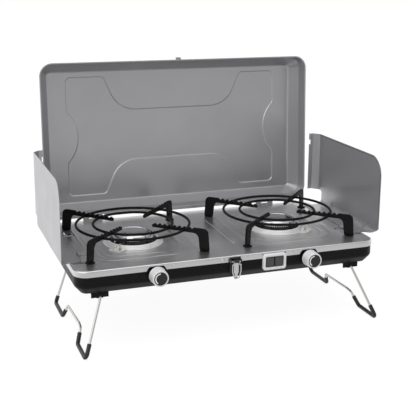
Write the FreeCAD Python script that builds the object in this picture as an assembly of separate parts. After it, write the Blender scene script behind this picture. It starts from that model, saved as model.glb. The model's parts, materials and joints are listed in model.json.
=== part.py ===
import FreeCAD, Part
import math
import os

# Two-burner camping stove: base tray on folding wire legs, hob plate with two burners and pan
# supports, hinged lid and two folding windshields. Millimetres, X to the right, Y to the back, Z up.
# The origin is at the middle of the open stove's footprint, on the surface that it stands on.

V = FreeCAD.Vector
X, Z = V(1, 0, 0), V(0, 0, 1)

# Driving dimensions
sheet = 0.8              # pressed steel sheet
hobWidth = 580.0
hobDepth = 308.0
hobCorner = 25.0
hobTop = 150.0           # cooking surface above the ground
hobRim = 11.0            # turned-down edge of the hob plate
rimGap = 0.3             # hob rim to base tray
baseHeight = 45.0        # hob surface to the tray's underside
baseChamfer = 13.0
chamferHeight = 15.0

burnerX = 148.5          # burner centre from the stove's middle
burnerY = -3.5
wellSizes = ((218.0, 244.0, 60.0, 2.0), (150.0, 206.0, 62.0, 1.5))   # width, depth, corner, step
burnerHole = 47.0
burnerRadius = 44.0
capRadius = 39.0
capRise = 18.0           # cap's top above the hob surface
tabReach = 58.0          # electrode and thermocouple from the burner centre
electrodeRadius = 3.0
thermocoupleRadius = 1.6

ringRadii = (103.0, 72.5)
ringWire = 2.5
ringRise = 33.0          # ring wire centre above the hob
armTopRise = 41.5
armBottomRise = 31.5
armSheet = 3.5
armInner = 42.0
footRadius = 150.0
footWidth = 19.0
tabWidth = 8.0
grommetRadius = 8.5
grommetNeck = 5.4
grommetRise = 1.6
tabFit = 0.15             # foot tab in its grommet
armTeeth = 8
teethReach = 128.0       # outer end of the serrated edge from the burner centre

knobX = 147.0
knobZ = 132.0
knobBackRadius = 17.5
knobFaceRadius = 14.5
knobDiscRadius = 12.0
knobLength = 22.0
knobGap = 4.0            # knob's back to the hob rim
knobTravel = 3.0
spindleRadius = 4.0
spindleFit = 0.08
valveRadius = 11.0

igniterX = 77.0
igniterSize = (46.0, 33.0)
igniterOpening = (38.0, 24.6)
openingCorner = 2.0
igniterProud = 5.6
buttonTravel = 4.0
buttonFit = 0.4

latchWidth = 22.0
latchAxisRise = -9.0     # lever pivot from the hob surface
bailLength = 26.0
bailWire = 1.0
leverLength = 33.0
latchRange = 150.0

lidSide = 4.0            # lid's edge inside the hob's side, each side
lidDepth = 46.2          # rim to inner panel
lidStraight = 23.0
lidStraightInset = 4.0
lidInsets = (20.6, 21.5, 17.9)    # sides, front, rear at the panel
lidCorner = 26.0
lidGap = 1.8             # rim above the hob when shut
lidLean = 2.9
embossStep = 1.5
lidHingeX = 190.0
lidHingeRadius = 3.0
lidPin = 1.5

shieldHingeInset = 25.0  # hinge axis from the hob's side
shieldHingeRise = 2.6
shieldClearance = 1.6    # folded shield under the shut lid
shieldHeight = 153.0     # top edge above the hob
shieldFrontInset = 25.0
shieldRearInset = 12.0
shieldCorner = 38.0
shieldFold = 12.0        # inner radius of the fold along the foot
shieldBackFold = (13.0, 11.5)    # slanted back strip: length along Y, step inwards
shieldCutY = 114.0       # cut-out behind this, under the back strips
shieldCutHeight = 30.0
shieldDartY = (-80.0, -14.0, 65.0)
shieldClipY = 62.0
shieldKnuckle = 2.2
shieldPin = 1.1

legPivotX = 245.0
legPivotDrop = 7.0       # pivot below the tray
legFootX = 281.6
legWire = 2.4
sleeveWall = 1.4
bracketSize = (31.0, 16.0, 10.5)
frontBracketY = 24.0     # bracket centre behind the hob's front edge
rearBracketY = 250.0

inletX = 232.0
inletZ = 129.0
inletThreadRadius = 6.58
inletThreadLength = 12.0
inletCollarRadius = 8.2
inletCollarLength = 3.0  # collar outside the tray's wall
inletFit = 0.4

screwHead = 3.2
screwShank = 1.6

# Derived places
hobFront, hobRear = -hobDepth / 2, hobDepth / 2
baseBottom = hobTop - baseHeight
foldZ = baseBottom + chamferHeight
baseInset = sheet + rimGap
baseWidth, baseDepth = hobWidth - 2 * baseInset, hobDepth - 2 * baseInset
baseCorner = hobCorner - baseInset
baseFront, baseRear = -baseDepth / 2, baseDepth / 2
wallInner = baseFront + sheet
wellFloor = hobTop - sum(well[3] for well in wellSizes)
lidRimZ = hobTop + lidGap
lidWidth = hobWidth - 2 * lidSide
lidFront, lidRear = hobFront - 1.2, hobRear - 0.2
lidPanelZ = lidRimZ + lidDepth
lidHingeY = lidRear + lidHingeRadius + 0.2
lidHingeZ = lidRimZ + 4.5
openAngle = 90.0 + lidLean
shieldHingeX = hobWidth / 2 - shieldHingeInset
shieldHingeZ = hobTop + shieldHingeRise
shieldOffset = lidPanelZ - shieldHingeZ - shieldClearance - sheet
shieldX = shieldHingeX + shieldOffset
shieldFront, shieldRear = hobFront + shieldFrontInset, hobRear - shieldRearInset
shieldTop = hobTop + shieldHeight
knobBack = hobFront - knobGap
knobFace = knobBack - knobLength
latchAxisZ = hobTop + latchAxisRise
legPivotZ = baseBottom - legPivotDrop
sleeveRadius = legWire + sleeveWall
legSplay = math.degrees(math.atan2(legFootX - legPivotX, legPivotZ - sleeveRadius))

nodes = {}


# Helpers
def box(x0, x1, y0, y1, z0, z1):
    return Part.makeBox(x1 - x0, y1 - y0, z1 - z0, V(x0, y0, z0))


def cylinder(radius, start, end):
    return Part.makeCylinder(radius, (end - start).Length, start, end - start)


def tube(outer, inner, start, end):
    return cylinder(outer, start, end).cut(cylinder(inner, start, end))


def roundedRect(width, depth, radius, z, cx=0.0, cy=0.0):
    """Closed outline from +X round to +Y: four arcs joined by four lines."""
    hw, hd = width / 2 - radius, depth / 2 - radius
    arcs = []
    for sx, sy, start in ((1, 1, 0), (-1, 1, 90), (-1, -1, 180), (1, -1, 270)):
        centre = V(cx + sx * hw, cy + sy * hd, z)
        arcs.append(Part.makeCircle(radius, centre, Z, start, start + 90))
    edges = []
    for i, arc in enumerate(arcs):
        after = arcs[(i + 1) % 4]
        edges.append(arc)
        edges.append(Part.makeLine(arc.valueAt(arc.LastParameter), after.valueAt(after.FirstParameter)))
    return Part.Wire(edges)


def roundedPath(points, radii, closed=False):
    """Straight runs joined by tangent arcs."""
    count = len(points)
    corners = []
    for i, point in enumerate(points):
        if not closed and i in (0, count - 1) or not radii[i]:
            corners.append((point, None, point))
            continue
        before = (point - points[i - 1]).normalize()
        after = (points[(i + 1) % count] - point).normalize()
        half = before.getAngle(after) / 2
        reach = radii[i] * math.tan(half)
        bisector = (after - before).normalize()
        centre = point + bisector * (radii[i] / math.cos(half))
        corners.append((point - before * reach, centre - bisector * radii[i], point + after * reach))
    edges = []
    for i, (start, middle, end) in enumerate(corners):
        if middle is not None:
            edges.append(Part.Arc(start, middle, end).toShape())
        if i < count - 1 or closed:
            follows = corners[(i + 1) % count][0]
            if (follows - end).Length > 1e-6:
                edges.append(Part.makeLine(end, follows))
    return Part.Wire(edges)


def plate(points, radii, direction):
    return Part.Face(roundedPath(points, radii, True)).extrude(direction)


def prism(wire, height):
    return Part.Face(wire).extrude(V(0, 0, height))


def loft(low, high):
    return Part.makeLoft([low, high], True, True)


def turned(profile, cx, cy):
    """Solid of revolution about a vertical axis from (radius, z) points."""
    wire = Part.makePolygon([V(cx + r, cy, z) for r, z in profile + [profile[0]]])
    return Part.Face(wire).revolve(V(cx, cy, 0), Z, 360)


def rod(points, radii, radius):
    path = roundedPath(points, radii)
    profile = Part.Wire(Part.makeCircle(radius, points[0], points[1] - points[0]))
    return path.makePipeShell([profile], True, False)


def mirrored(shape):
    return shape.mirror(V(0, 0, 0), X)


def both(name, shape, side=1):
    """A piece on the right (side 1) or left (-1) and its mirror image on the other side."""
    other = mirrored(shape)
    nodes[name + "_right"] = shape if side > 0 else other
    nodes[name + "_left"] = other if side > 0 else shape


def group(shapes):
    return Part.makeCompound([s for shape in shapes for s in (shape.Solids or [shape])])


def opened(shape):
    """Turn a piece of the lid from shut to open about the hinge."""
    done = shape.copy()
    done.rotate(V(0, lidHingeY, lidHingeZ), X, -openAngle)
    return done


# Screws through the hob rim into the tray
def rimScrews():
    z = hobTop - hobRim / 2
    screws = []
    for side, spots in ((-1, (-knobX + 34, -22.5, 22.5, knobX - 34)), (1, (-240, -80, 80, 240))):
        for x in spots:
            face = side * hobDepth / 2
            head = cylinder(screwHead, V(x, face, z), V(x, face + side * 1.4, z))
            shank = cylinder(screwShank, V(x, face, z), V(x, face - side * 5, z))
            screws.append(head.fuse(shank))
    return screws


def latchRivets():
    plateFront = hobFront - 0.3 - 1.2
    rivets = []
    for z in (hobTop - 25, hobTop - 33):
        head = cylinder(2.2, V(0, plateFront, z), V(0, plateFront - 0.9, z))
        rivets.append(head.fuse(cylinder(1.5, V(0, plateFront, z), V(0, wallInner + 1, z))))
    return rivets


# Base tray: vertical wall, chamfer all round, flat bottom
def baseSkin(offset, top):
    low = baseBottom + offset
    wall = prism(roundedRect(baseWidth - 2 * offset, baseDepth - 2 * offset, baseCorner - offset, foldZ),
                 top - foldZ)
    inset = 2 * baseChamfer
    bottom = roundedRect(baseWidth - 2 * offset - inset, baseDepth - 2 * offset - inset,
                         baseCorner - baseChamfer, low)
    edge = roundedRect(baseWidth - 2 * offset, baseDepth - 2 * offset, baseCorner - offset, foldZ)
    return wall.fuse(loft(bottom, edge))


def buildBaseTray():
    top = hobTop - 3.4
    tray = baseSkin(0, top).cut(baseSkin(sheet, top + 1))
    openings = []
    for side in (-1, 1):
        openings.append(cylinder(9.0, V(side * knobX, baseFront - 2, knobZ),
                                 V(side * knobX, baseFront + 4, knobZ)))
        for i in range(5):
            x = side * burnerX + (i - 2) * 18
            openings.append(box(x - 3, x + 3, burnerY - 26, burnerY + 26, baseBottom - 1, baseBottom + 2))
    w, h = igniterOpening
    middle = hobTop - igniterSize[1] / 2 - 3
    openings.append(box(igniterX - w / 2, igniterX + w / 2, baseFront - 2, baseFront + 8,
                        middle - h / 2, middle + h / 2))
    openings.append(cylinder(inletCollarRadius + inletFit, V(inletX, baseRear - 4, inletZ),
                             V(inletX, baseRear + 4, inletZ)))
    nodes["base_tray"] = tray.cut(openings + rimScrews() + latchRivets())


# Hob plate: turned-down rim, two stepped wells, openings for all that passes through
def footSpots(burnerSide):
    for angle in (45, 135, 225, 315):
        direction = V(math.cos(math.radians(angle)), math.sin(math.radians(angle)), 0)
        yield V(burnerSide * burnerX, burnerY, 0), direction, angle


def tabSpots(side):
    """Electrode and thermocouple, on the burner collar's tab towards the front outer corner."""
    spots = []
    for turn in (-6, 6):
        angle = math.radians((315 if side > 0 else 225) + turn)
        spots.append(V(side * burnerX + tabReach * math.cos(angle), burnerY + tabReach * math.sin(angle), 0))
    return spots


def hobSkin(offset):
    solid = prism(roundedRect(hobWidth - 2 * offset, hobDepth - 2 * offset, hobCorner - offset,
                              hobTop - hobRim), hobRim - offset)
    top = [e for e in solid.Edges if e.BoundBox.ZMin > hobTop - offset - 0.01]
    return solid.makeFillet(3.0 - offset, top)


def buildHobPlate():
    hob = hobSkin(0).cut(hobSkin(sheet))
    for side in (-1, 1):
        z = hobTop
        for width, length, corner, depth in wellSizes:
            slope = 2.5
            cx, cy = side * burnerX, burnerY

            def outline(grow, level):
                return roundedRect(width + 2 * grow, length + 2 * grow, corner + grow, level, cx, cy)
            upper, lower = outline(0, z), outline(-slope, z - depth)
            underUpper = outline(sheet, z - sheet)
            underLower = outline(sheet - slope, z - depth - sheet)
            hob = hob.fuse(loft(underLower, underUpper)).cut(loft(lower, upper))
            z -= depth
    holes = rimScrews()
    for side in (-1, 1):
        cx = side * burnerX
        holes.append(cylinder(burnerHole, V(cx, burnerY, hobTop - 12), V(cx, burnerY, hobTop + 1)))
        for centre, direction, angle in footSpots(side):
            spot = centre + direction * footRadius
            holes.append(cylinder(grommetNeck, spot + V(0, 0, hobTop - 5), spot + V(0, 0, hobTop + 1)))
        electrode, thermocouple = tabSpots(side)
        holes.append(cylinder(electrodeRadius, electrode + V(0, 0, hobTop - 12), electrode + V(0, 0, hobTop)))
        holes.append(cylinder(thermocoupleRadius, thermocouple + V(0, 0, hobTop - 12),
                              thermocouple + V(0, 0, hobTop)))
        for y in (-shieldClipY, shieldClipY):
            x = side * (shieldHingeX - 14.5)
            holes.append(box(x - 3.5, x + 3.5, y - 5, y + 5, wellFloor - 2, hobTop + 1))
        notch = cylinder(knobBackRadius + 2, V(side * knobX, hobFront - 1, knobZ),
                         V(side * knobX, hobFront + 2, knobZ))
        holes.append(notch.cut(box(-hobWidth, hobWidth, -hobDepth, 0, hobTop - 3.2, hobTop + 9)))
    w, h = igniterSize
    holes.append(box(igniterX - w / 2 - 0.3, igniterX + w / 2 + 0.3, hobFront - 1, hobFront + 2,
                     hobTop - hobRim - 1, hobTop - 2.7))
    nodes["hob_plate"] = hob.cut(holes)
    nodes["hob_screws"] = group(rimScrews())


# Pan supports: four serrated arms plugged into grommets, two welded wire rings
def panArm(centre, direction):
    r0, r1 = footRadius - footWidth / 2, footRadius + footWidth / 2
    t0, t1 = footRadius - tabWidth / 2, footRadius + tabWidth / 2
    low, top = hobTop + armBottomRise, hobTop + armTopRise
    seat = hobTop + grommetRise
    outline = [(t0, hobTop - 4), (t1, hobTop - 4), (t1, seat), (r1, seat), (r1, top - 7), (r1 - 7, top)]
    pitch = (teethReach - armInner - 4) / armTeeth
    for i in range(armTeeth):
        r = teethReach - i * pitch
        drop = 0.5 * i
        outline += [(r, top - 0.5 * drop), (r - pitch * 0.2, top - 2.6 - 0.5 * drop),
                    (r - pitch * 0.5, top - 2.6 - 0.5 * drop), (r - pitch * 0.7, top - 0.5 * drop)]
    outline += [(armInner, top - 4), (armInner, low), (r0 - 9, low), (r0, low - 9), (r0, seat), (t0, seat)]
    across = V(-direction.y, direction.x, 0)
    points = [centre + direction * r + V(0, 0, z) - across * (armSheet / 2) for r, z in outline]
    return Part.Face(Part.makePolygon(points + [points[0]])).extrude(across * armSheet)


def tabSlot(spot, direction):
    half, thick = tabWidth / 2 + tabFit, armSheet / 2 + tabFit
    across = V(-direction.y, direction.x, 0)
    corners = [spot + direction * a * half + across * b * thick + V(0, 0, hobTop - 6)
               for a, b in ((1, 1), (-1, 1), (-1, -1), (1, -1), (1, 1))]
    return Part.Face(Part.makePolygon(corners)).extrude(V(0, 0, 12))


def buildPanSupports():
    grommets = []
    for side, name in ((-1, "left"), (1, "right")):
        centre = V(side * burnerX, burnerY, 0)
        rings = [Part.makeTorus(r, ringWire, centre + V(0, 0, hobTop + ringRise)) for r in ringRadii]
        arms = [panArm(c, d) for c, d, _ in footSpots(side)]
        nodes["pan_arms_" + name] = group([arm.cut(rings) for arm in arms])
        nodes["pan_rings_" + name] = group(rings)
        for c, direction, _ in footSpots(side):
            spot = c + direction * footRadius
            grommet = cylinder(grommetRadius, spot + V(0, 0, hobTop), spot + V(0, 0, hobTop + grommetRise))
            grommet = grommet.fuse([
                cylinder(grommetNeck, spot + V(0, 0, hobTop - sheet), spot + V(0, 0, hobTop)),
                cylinder(grommetNeck + 1.2, spot + V(0, 0, hobTop - sheet - 1.6),
                         spot + V(0, 0, hobTop - sheet))])
            grommets.append(grommet.cut(tabSlot(spot, direction)))
    nodes["pan_grommets"] = group(grommets)


# Burners
def buildBurners():
    for side, name in ((-1, "left"), (1, "right")):
        cx, cy = side * burnerX, burnerY
        electrode, thermocouple = tabSpots(side)
        floor = wellFloor
        collar = turned([(burnerHole, floor), (56, floor), (56, floor + 1.2), (53.5, floor + 3.4),
                         (49, floor + 3.8), (burnerHole, floor + 3)], cx, cy)
        angle = 315 if side > 0 else 225
        tab = box(50, 66, -11, 11, floor, floor + 1.2)
        tab.rotate(V(0, 0, 0), Z, angle)
        tab.translate(V(cx, cy, 0))
        posts = [cylinder(electrodeRadius, electrode + V(0, 0, floor - 8), electrode + V(0, 0, hobTop + 8)),
                 cylinder(thermocoupleRadius, thermocouple + V(0, 0, floor - 12),
                          thermocouple + V(0, 0, hobTop + 10))]
        nodes["burner_collar_" + name] = collar.fuse(tab).cut(posts)
        tip = cylinder(1.0, electrode + V(0, 0, hobTop + 8), electrode + V(0, 0, hobTop + 13))
        nodes["igniter_electrode_" + name] = posts[0].fuse(tip)
        nodes["thermocouple_" + name] = posts[1].fuse(cylinder(3.0, thermocouple + V(0, 0, floor - 12),
                                                               thermocouple + V(0, 0, floor - 6)))
        bowlTop = hobTop + 3
        bowl = turned([(0, knobZ - 12), (18, knobZ - 12), (27, knobZ - 6), (burnerRadius - 5, hobTop - 8),
                       (burnerRadius, hobTop - 3), (burnerRadius, bowlTop), (burnerRadius - 2, bowlTop),
                       (burnerRadius - 2, hobTop - 2), (burnerRadius - 6.5, hobTop - 6.5),
                       (25.5, knobZ - 4.5), (17, knobZ - 10.5), (0, knobZ - 10.5)], cx, cy)
        throat = V(cx, cy - 16, knobZ)
        mouth = V(cx, cy - burnerRadius - 4, knobZ)
        socket = tube(9.6, 8.0, throat, mouth)
        hollow = cylinder(8.0, throat, mouth)
        inside = turned([(0, knobZ - 10.5), (17, knobZ - 10.5), (25.5, knobZ - 4.5),
                         (burnerRadius - 6.5, hobTop - 6.5), (burnerRadius - 2, hobTop - 2),
                         (burnerRadius - 2, bowlTop), (0, bowlTop)], cx, cy)
        nodes["burner_body_" + name] = bowl.cut(hollow).fuse(socket.cut(inside))
        ringTop = hobTop + capRise - 7
        ports = turned([(capRadius - 6, bowlTop), (burnerRadius, bowlTop), (burnerRadius, bowlTop + 1.5),
                        (capRadius, bowlTop + 2.5), (capRadius, ringTop), (capRadius - 6, ringTop)], cx, cy)
        slots = []
        for i in range(24):
            slot = box(capRadius - 8, capRadius + 2, -0.7, 0.7, ringTop - 3.5, ringTop + 1)
            slot.rotate(V(0, 0, 0), Z, i * 15 + 7.5)
            slot.translate(V(cx, cy, 0))
            slots.append(slot)
        nodes["burner_port_ring_" + name] = ports.cut(slots)
        capTop = hobTop + capRise
        nodes["burner_cap_" + name] = turned(
            [(0, ringTop), (capRadius + 1, ringTop), (capRadius + 1, ringTop + 2.5),
              (capRadius - 2, capTop - 1),
             (capRadius - 8, capTop), (20, capTop - 2.5), (0, capTop - 3)], cx, cy)


# Gas train: valves, injectors, venturi tubes, manifold and inlet
def buildGasTrain():
    valveBack = wallInner + 26
    pipeZ, pipeY, pipeRadius = baseBottom + 10.5, wallInner + 20, 3.5
    valveBottom = pipeZ + 1.5
    pipe = rod([V(-knobX, pipeY, pipeZ), V(inletX, pipeY, pipeZ), V(inletX, baseRear - 17, pipeZ)],
               [0, 12, 0], pipeRadius)
    for side, name in ((-1, "left"), (1, "right")):
        cx = side * knobX
        body = box(cx - valveRadius, cx + valveRadius, wallInner, valveBack, foldZ + 1, knobZ + valveRadius)
        foot = box(cx - valveRadius, cx + valveRadius, wallInner + 9, valveBack, valveBottom, foldZ + 1)
        bush = cylinder(7.0, V(cx, wallInner, knobZ), V(cx, baseFront - 2, knobZ))
        bore = cylinder(spindleRadius + spindleFit, V(cx, baseFront - 3, knobZ), V(cx, wallInner + 20, knobZ))
        nodes["gas_valve_" + name] = body.fuse([foot, bush]).cut([bore, pipe])
        jet = cylinder(4.0, V(cx, valveBack, knobZ), V(cx, valveBack + 6, knobZ))
        jet = jet.fuse(cylinder(2.2, V(cx, valveBack + 6, knobZ), V(cx, valveBack + 9, knobZ)))
        nodes["gas_injector_" + name] = jet
        bx = side * burnerX
        end = burnerY - burnerRadius - 4
        start = valveBack + 6
        throat = tube(9.6, 8.0, V(bx, start, knobZ), V(bx, end, knobZ))
        sleeve = tube(11.2, 9.6, V(bx, end - 8, knobZ), V(bx, end + 6, knobZ))
        stalk = box(bx - 5, bx + 5, start + 14, start + 16, baseBottom + sheet, knobZ - 8.6)
        nodes["venturi_tube_" + name] = throat.fuse([sleeve, stalk]).cut(nodes["burner_body_" + name])
        spindle = cylinder(spindleRadius, V(cx, knobFace + 4.5, knobZ), V(cx, wallInner + 14, knobZ))
        nodes["valve_spindle_" + name] = spindle
    nodes["gas_manifold_pipe"] = pipe
    wall = baseRear - sheet
    block = box(inletX - 9, inletX + 9, wall - 18, wall, foldZ + 1, inletZ + 9).fuse(
        box(inletX - 9, inletX + 9, wall - 18, wall - 9.5, pipeZ - 5, foldZ + 1))
    seat = baseRear + inletCollarLength
    stub = cylinder(inletCollarRadius, V(inletX, wall, inletZ), V(inletX, seat, inletZ)).fuse(
        cylinder(inletThreadRadius, V(inletX, seat, inletZ), V(inletX, seat + inletThreadLength, inletZ)))
    bore = cylinder(3.0, V(inletX, baseRear - 14, inletZ), V(inletX, seat + inletThreadLength + 1, inletZ))
    nodes["gas_inlet"] = block.fuse(stub).cut([bore, pipe])


# Knobs: hollow silver body with a hub on the spindle, dark disc set in the face
def buildKnobs():
    for side, name in ((-1, "left"), (1, "right")):
        cx = side * knobX

        def at(y):
            return V(cx, y, knobZ)
        body = Part.makeCone(knobBackRadius, knobFaceRadius, knobLength, at(knobBack), V(0, -1, 0))
        rim = [e for e in body.Edges if e.BoundBox.YMax < knobFace + 0.1]
        body = body.makeFillet(1.2, rim)
        cavity = cylinder(knobDiscRadius, at(knobBack), at(knobFace + 6))
        hub = cylinder(spindleRadius + 3, at(knobBack - 1), at(knobFace + 6))
        bore = cylinder(spindleRadius + spindleFit, at(knobBack), at(knobFace + 4))
        disc = cylinder(knobDiscRadius, at(knobFace), at(knobFace + 1.4))
        nodes["knob_body_" + name] = body.cut(cavity.cut(hub)).cut([bore, disc])
        nodes["knob_disc_" + name] = cylinder(knobDiscRadius, at(knobFace + 0.3), at(knobFace + 1.4))


# Igniter: bezel on the tray's front, two push buttons, unit behind
def buildIgniter():
    w, h = igniterSize
    ow, oh = igniterOpening
    middle = hobTop - h / 2 - 3

    def slab(width, height, radius, y0, y1):
        points = [V(igniterX + sx * width / 2, y0, middle + sz * height / 2)
                  for sx, sz in ((1, 1), (-1, 1), (-1, -1), (1, -1))]
        return plate(points, [radius] * 4, V(0, y1 - y0, 0))
    front = baseFront - igniterProud
    outer = slab(w, h, 4.0, front, baseFront)
    edge = [e for e in outer.Edges if e.BoundBox.YMax < front + 0.1]
    nodes["igniter_frame"] = outer.makeFillet(1.5, edge).cut(
        slab(ow, oh, openingCorner, front - 1, baseFront + 1))
    unitFront = wallInner + 2
    unit = box(igniterX - ow / 2 + 0.4, igniterX + ow / 2 - 0.4, unitFront, unitFront + 32,
               middle - oh / 2 + 1.4, middle + oh / 2 - 1.4)
    for side in (-1, 1):
        inner, outerX = igniterX + side * (ow / 2 - 2), igniterX + side * (ow / 2 + 4)
        unit = unit.fuse(box(min(inner, outerX), max(inner, outerX), wallInner, unitFront + 3,
                             middle - 6, middle + 8))
        unit = unit.cut(box(igniterX - ow / 2, igniterX + ow / 2, wallInner, unitFront,
                            middle - 9, middle + 9))
    nodes["igniter_unit"] = unit
    back = unitFront - buttonTravel - 0.3
    cornerRadius = openingCorner - buttonFit
    for side, name in ((-1, "left"), (1, "right")):
        near, far, tall = side * buttonFit, side * (ow / 2 - buttonFit), oh / 2 - buttonFit
        spots = ((near, -tall, 0.6), (far, -tall, cornerRadius), (far, tall, cornerRadius), (near, tall, 0.6))
        cap = plate([V(igniterX + x, front + 1.0, middle + z) for x, z, _ in spots],
                    [r for _, _, r in spots], V(0, back - front - 1.0, 0))
        edges = [e for e in cap.Edges if e.BoundBox.YMax < front + 1.1]
        nodes["igniter_button_" + name] = cap.makeFillet(0.8, edges)


# Latch: bracket with two ears, lever on a pin, wire bail on the lever
def buildLatch():
    plateBack, plateFront = hobFront - 0.3, hobFront - 1.5
    axisY, bailY, bailZ = hobFront - 6.0, hobFront - 9.2, latchAxisZ - 4.5
    half = latchWidth / 2
    bracket = box(-half, half, plateFront, plateBack, hobTop - 43, hobTop - 2)
    bracket = bracket.fuse(box(-half, half, plateBack, baseFront, foldZ + 1, hobTop - hobRim - 1))
    for side in (-1, 1):
        x0, x1 = sorted((side * 9.4, side * 10.6))
        bracket = bracket.fuse(box(x0, x1, axisY - 3, plateFront, latchAxisZ - 4, latchAxisZ + 4))
    pin = cylinder(1.4, V(-11.6, axisY, latchAxisZ), V(11.6, axisY, latchAxisZ))
    nodes["latch_bracket"] = bracket.cut([pin] + latchRivets())
    nodes["latch_rivets"] = group([r.cut(nodes["base_tray"]) for r in latchRivets()])
    nodes["latch_pin"] = pin
    front, back = axisY - 1.0, axisY + 0.2
    low = latchAxisZ + 2 - leverLength
    blade = plate([V(-6.2, front, latchAxisZ + 2), V(6.2, front, latchAxisZ + 2), V(6.2, front, low + 13),
                   V(4.2, front, low), V(-4.2, front, low), V(-6.2, front, low + 13)],
                  [0, 0, 4, 2, 2, 4], V(0, back - front, 0))
    lever = blade.fuse(cylinder(2.8, V(-6.2, axisY, latchAxisZ), V(6.2, axisY, latchAxisZ)))
    for side in (-1, 1):
        x0, x1 = sorted((side * 5.0, side * 6.2))
        ear = plate([V(x0, axisY + 2, latchAxisZ + 2.5), V(x0, bailY - 1, latchAxisZ + 2.5),
                     V(x0, bailY - 2.2, bailZ - 2.6), V(x0, back, bailZ - 5)],
                     [2, 2, 1.5, 0], V(x1 - x0, 0, 0))
        lever = lever.fuse(ear)
    bores = [cylinder(1.5, V(-12, axisY, latchAxisZ), V(12, axisY, latchAxisZ)),
             cylinder(bailWire + 0.08, V(-12, bailY, bailZ), V(12, bailY, bailZ))]
    nodes["latch_lever"] = lever.cut(bores)
    bottom = bailZ - bailLength

    def at(x, z):
        return V(x, bailY, z)
    side = 8.0
    path = [at(-4.6, bailZ), at(-side, bailZ), at(-side, bailZ - 13), at(-4.5, bottom), at(4.5, bottom),
            at(side, bailZ - 13), at(side, bailZ), at(4.6, bailZ)]
    nodes["latch_bail"] = rod(path, [0, 1.5, 5, 2.5, 2.5, 5, 1.5, 0], bailWire)


# Lid, drawn shut and turned open
def lidSkin(offset, top):
    width, depth = lidWidth - 2 * offset, lidRear - lidFront - 2 * offset
    cy = (lidRear + lidFront) / 2
    shoulder = lidRimZ + lidStraight
    low = roundedRect(width, depth, lidCorner - offset, lidRimZ, 0, cy)
    middle = roundedRect(width - 2 * lidStraightInset, depth - 2 * lidStraightInset,
                         lidCorner - lidStraightInset - offset, shoulder, 0, cy)
    sides, front, rear = (inset - lidStraightInset for inset in lidInsets)
    high = roundedRect(width - 2 * lidStraightInset - 2 * sides,
                       depth - 2 * lidStraightInset - front - rear, 14.0 - offset, top, 0,
                       cy + (front - rear) / 2)
    return loft(low, middle).fuse(loft(middle, high))


def embossOutline(z, offset):
    """Pressed outline of the lid's panel: straight ends, round scallops and corner lobes."""
    side = lidWidth / 2 - 58 - offset
    cy = (lidRear + lidFront) / 2
    halfTop = (lidRear - lidFront) / 2 - 32 - offset
    waist = 52.0 - offset
    bay, shoulder = 82.0, 145.0
    notch = 20.0
    points, radii = [], []

    def add(x, y, radius):
        points.append(V(x, cy + y, z))
        radii.append(radius)
    for sx, sy in ((1, 1), (-1, 1), (-1, -1), (1, -1)):
        corner = [(side - notch, 56.0 - offset * 0.4, 30), (side, 76.0, 12), (side, halfTop, 10),
                  (shoulder + offset, halfTop, 10), (shoulder - 12 + offset, waist + 22, 45),
                   (bay, waist, 30)]
        if sx * sy < 0:
            corner.reverse()
        for x, y, radius in corner:
            add(sx * x, sy * y, radius)
    return roundedPath(points, radii, True)


def buildLid():
    outer = lidSkin(0, lidPanelZ + sheet)
    inner = lidSkin(sheet, lidPanelZ)
    shell = outer.cut(inner)
    cy = (lidRear + lidFront) / 2
    hem = prism(roundedRect(lidWidth, lidRear - lidFront, lidCorner, lidRimZ, 0, cy), 7).common(outer)
    hem = hem.cut(prism(roundedRect(lidWidth - 3.6, lidRear - lidFront - 3.6, lidCorner - 1.8,
                                    lidRimZ, 0, cy), 7))
    shell = shell.fuse(hem)
    raised = prism(embossOutline(lidPanelZ, -sheet), sheet + embossStep)
    pressed = prism(embossOutline(lidPanelZ - 1, 0), 1 + embossStep)
    shell = shell.fuse(raised).cut(pressed)
    hook = plate([V(-5.2, lidFront + 3, lidRimZ + 0.5), V(-5.2, lidFront - 2.4, lidRimZ + 7),
                  V(-5.2, lidFront - 4, lidRimZ + 10), V(-5.2, lidFront - 2.8, lidRimZ + 10),
                  V(-5.2, lidFront - 1.2, lidRimZ + 8), V(-5.2, lidFront + 3, lidRimZ + 8)],
                 [0, 1, 0, 0, 1, 0], V(10.4, 0, 0))
    nodes["lid_shell"] = opened(shell)
    nodes["lid_catch"] = opened(hook.cut(outer))
    studs = []
    for side in (-1, 1):
        studY, studZ = lidRear - 127, lidRimZ + 9
        stud = cylinder(2.5, V(side * (lidWidth / 2 - 6), studY, studZ),
                        V(side * (lidWidth / 2 + 3), studY, studZ))
        studs.append(stud.cut(outer))
    nodes["lid_studs"] = opened(group(studs))
    buildLidHinges(outer)


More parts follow.
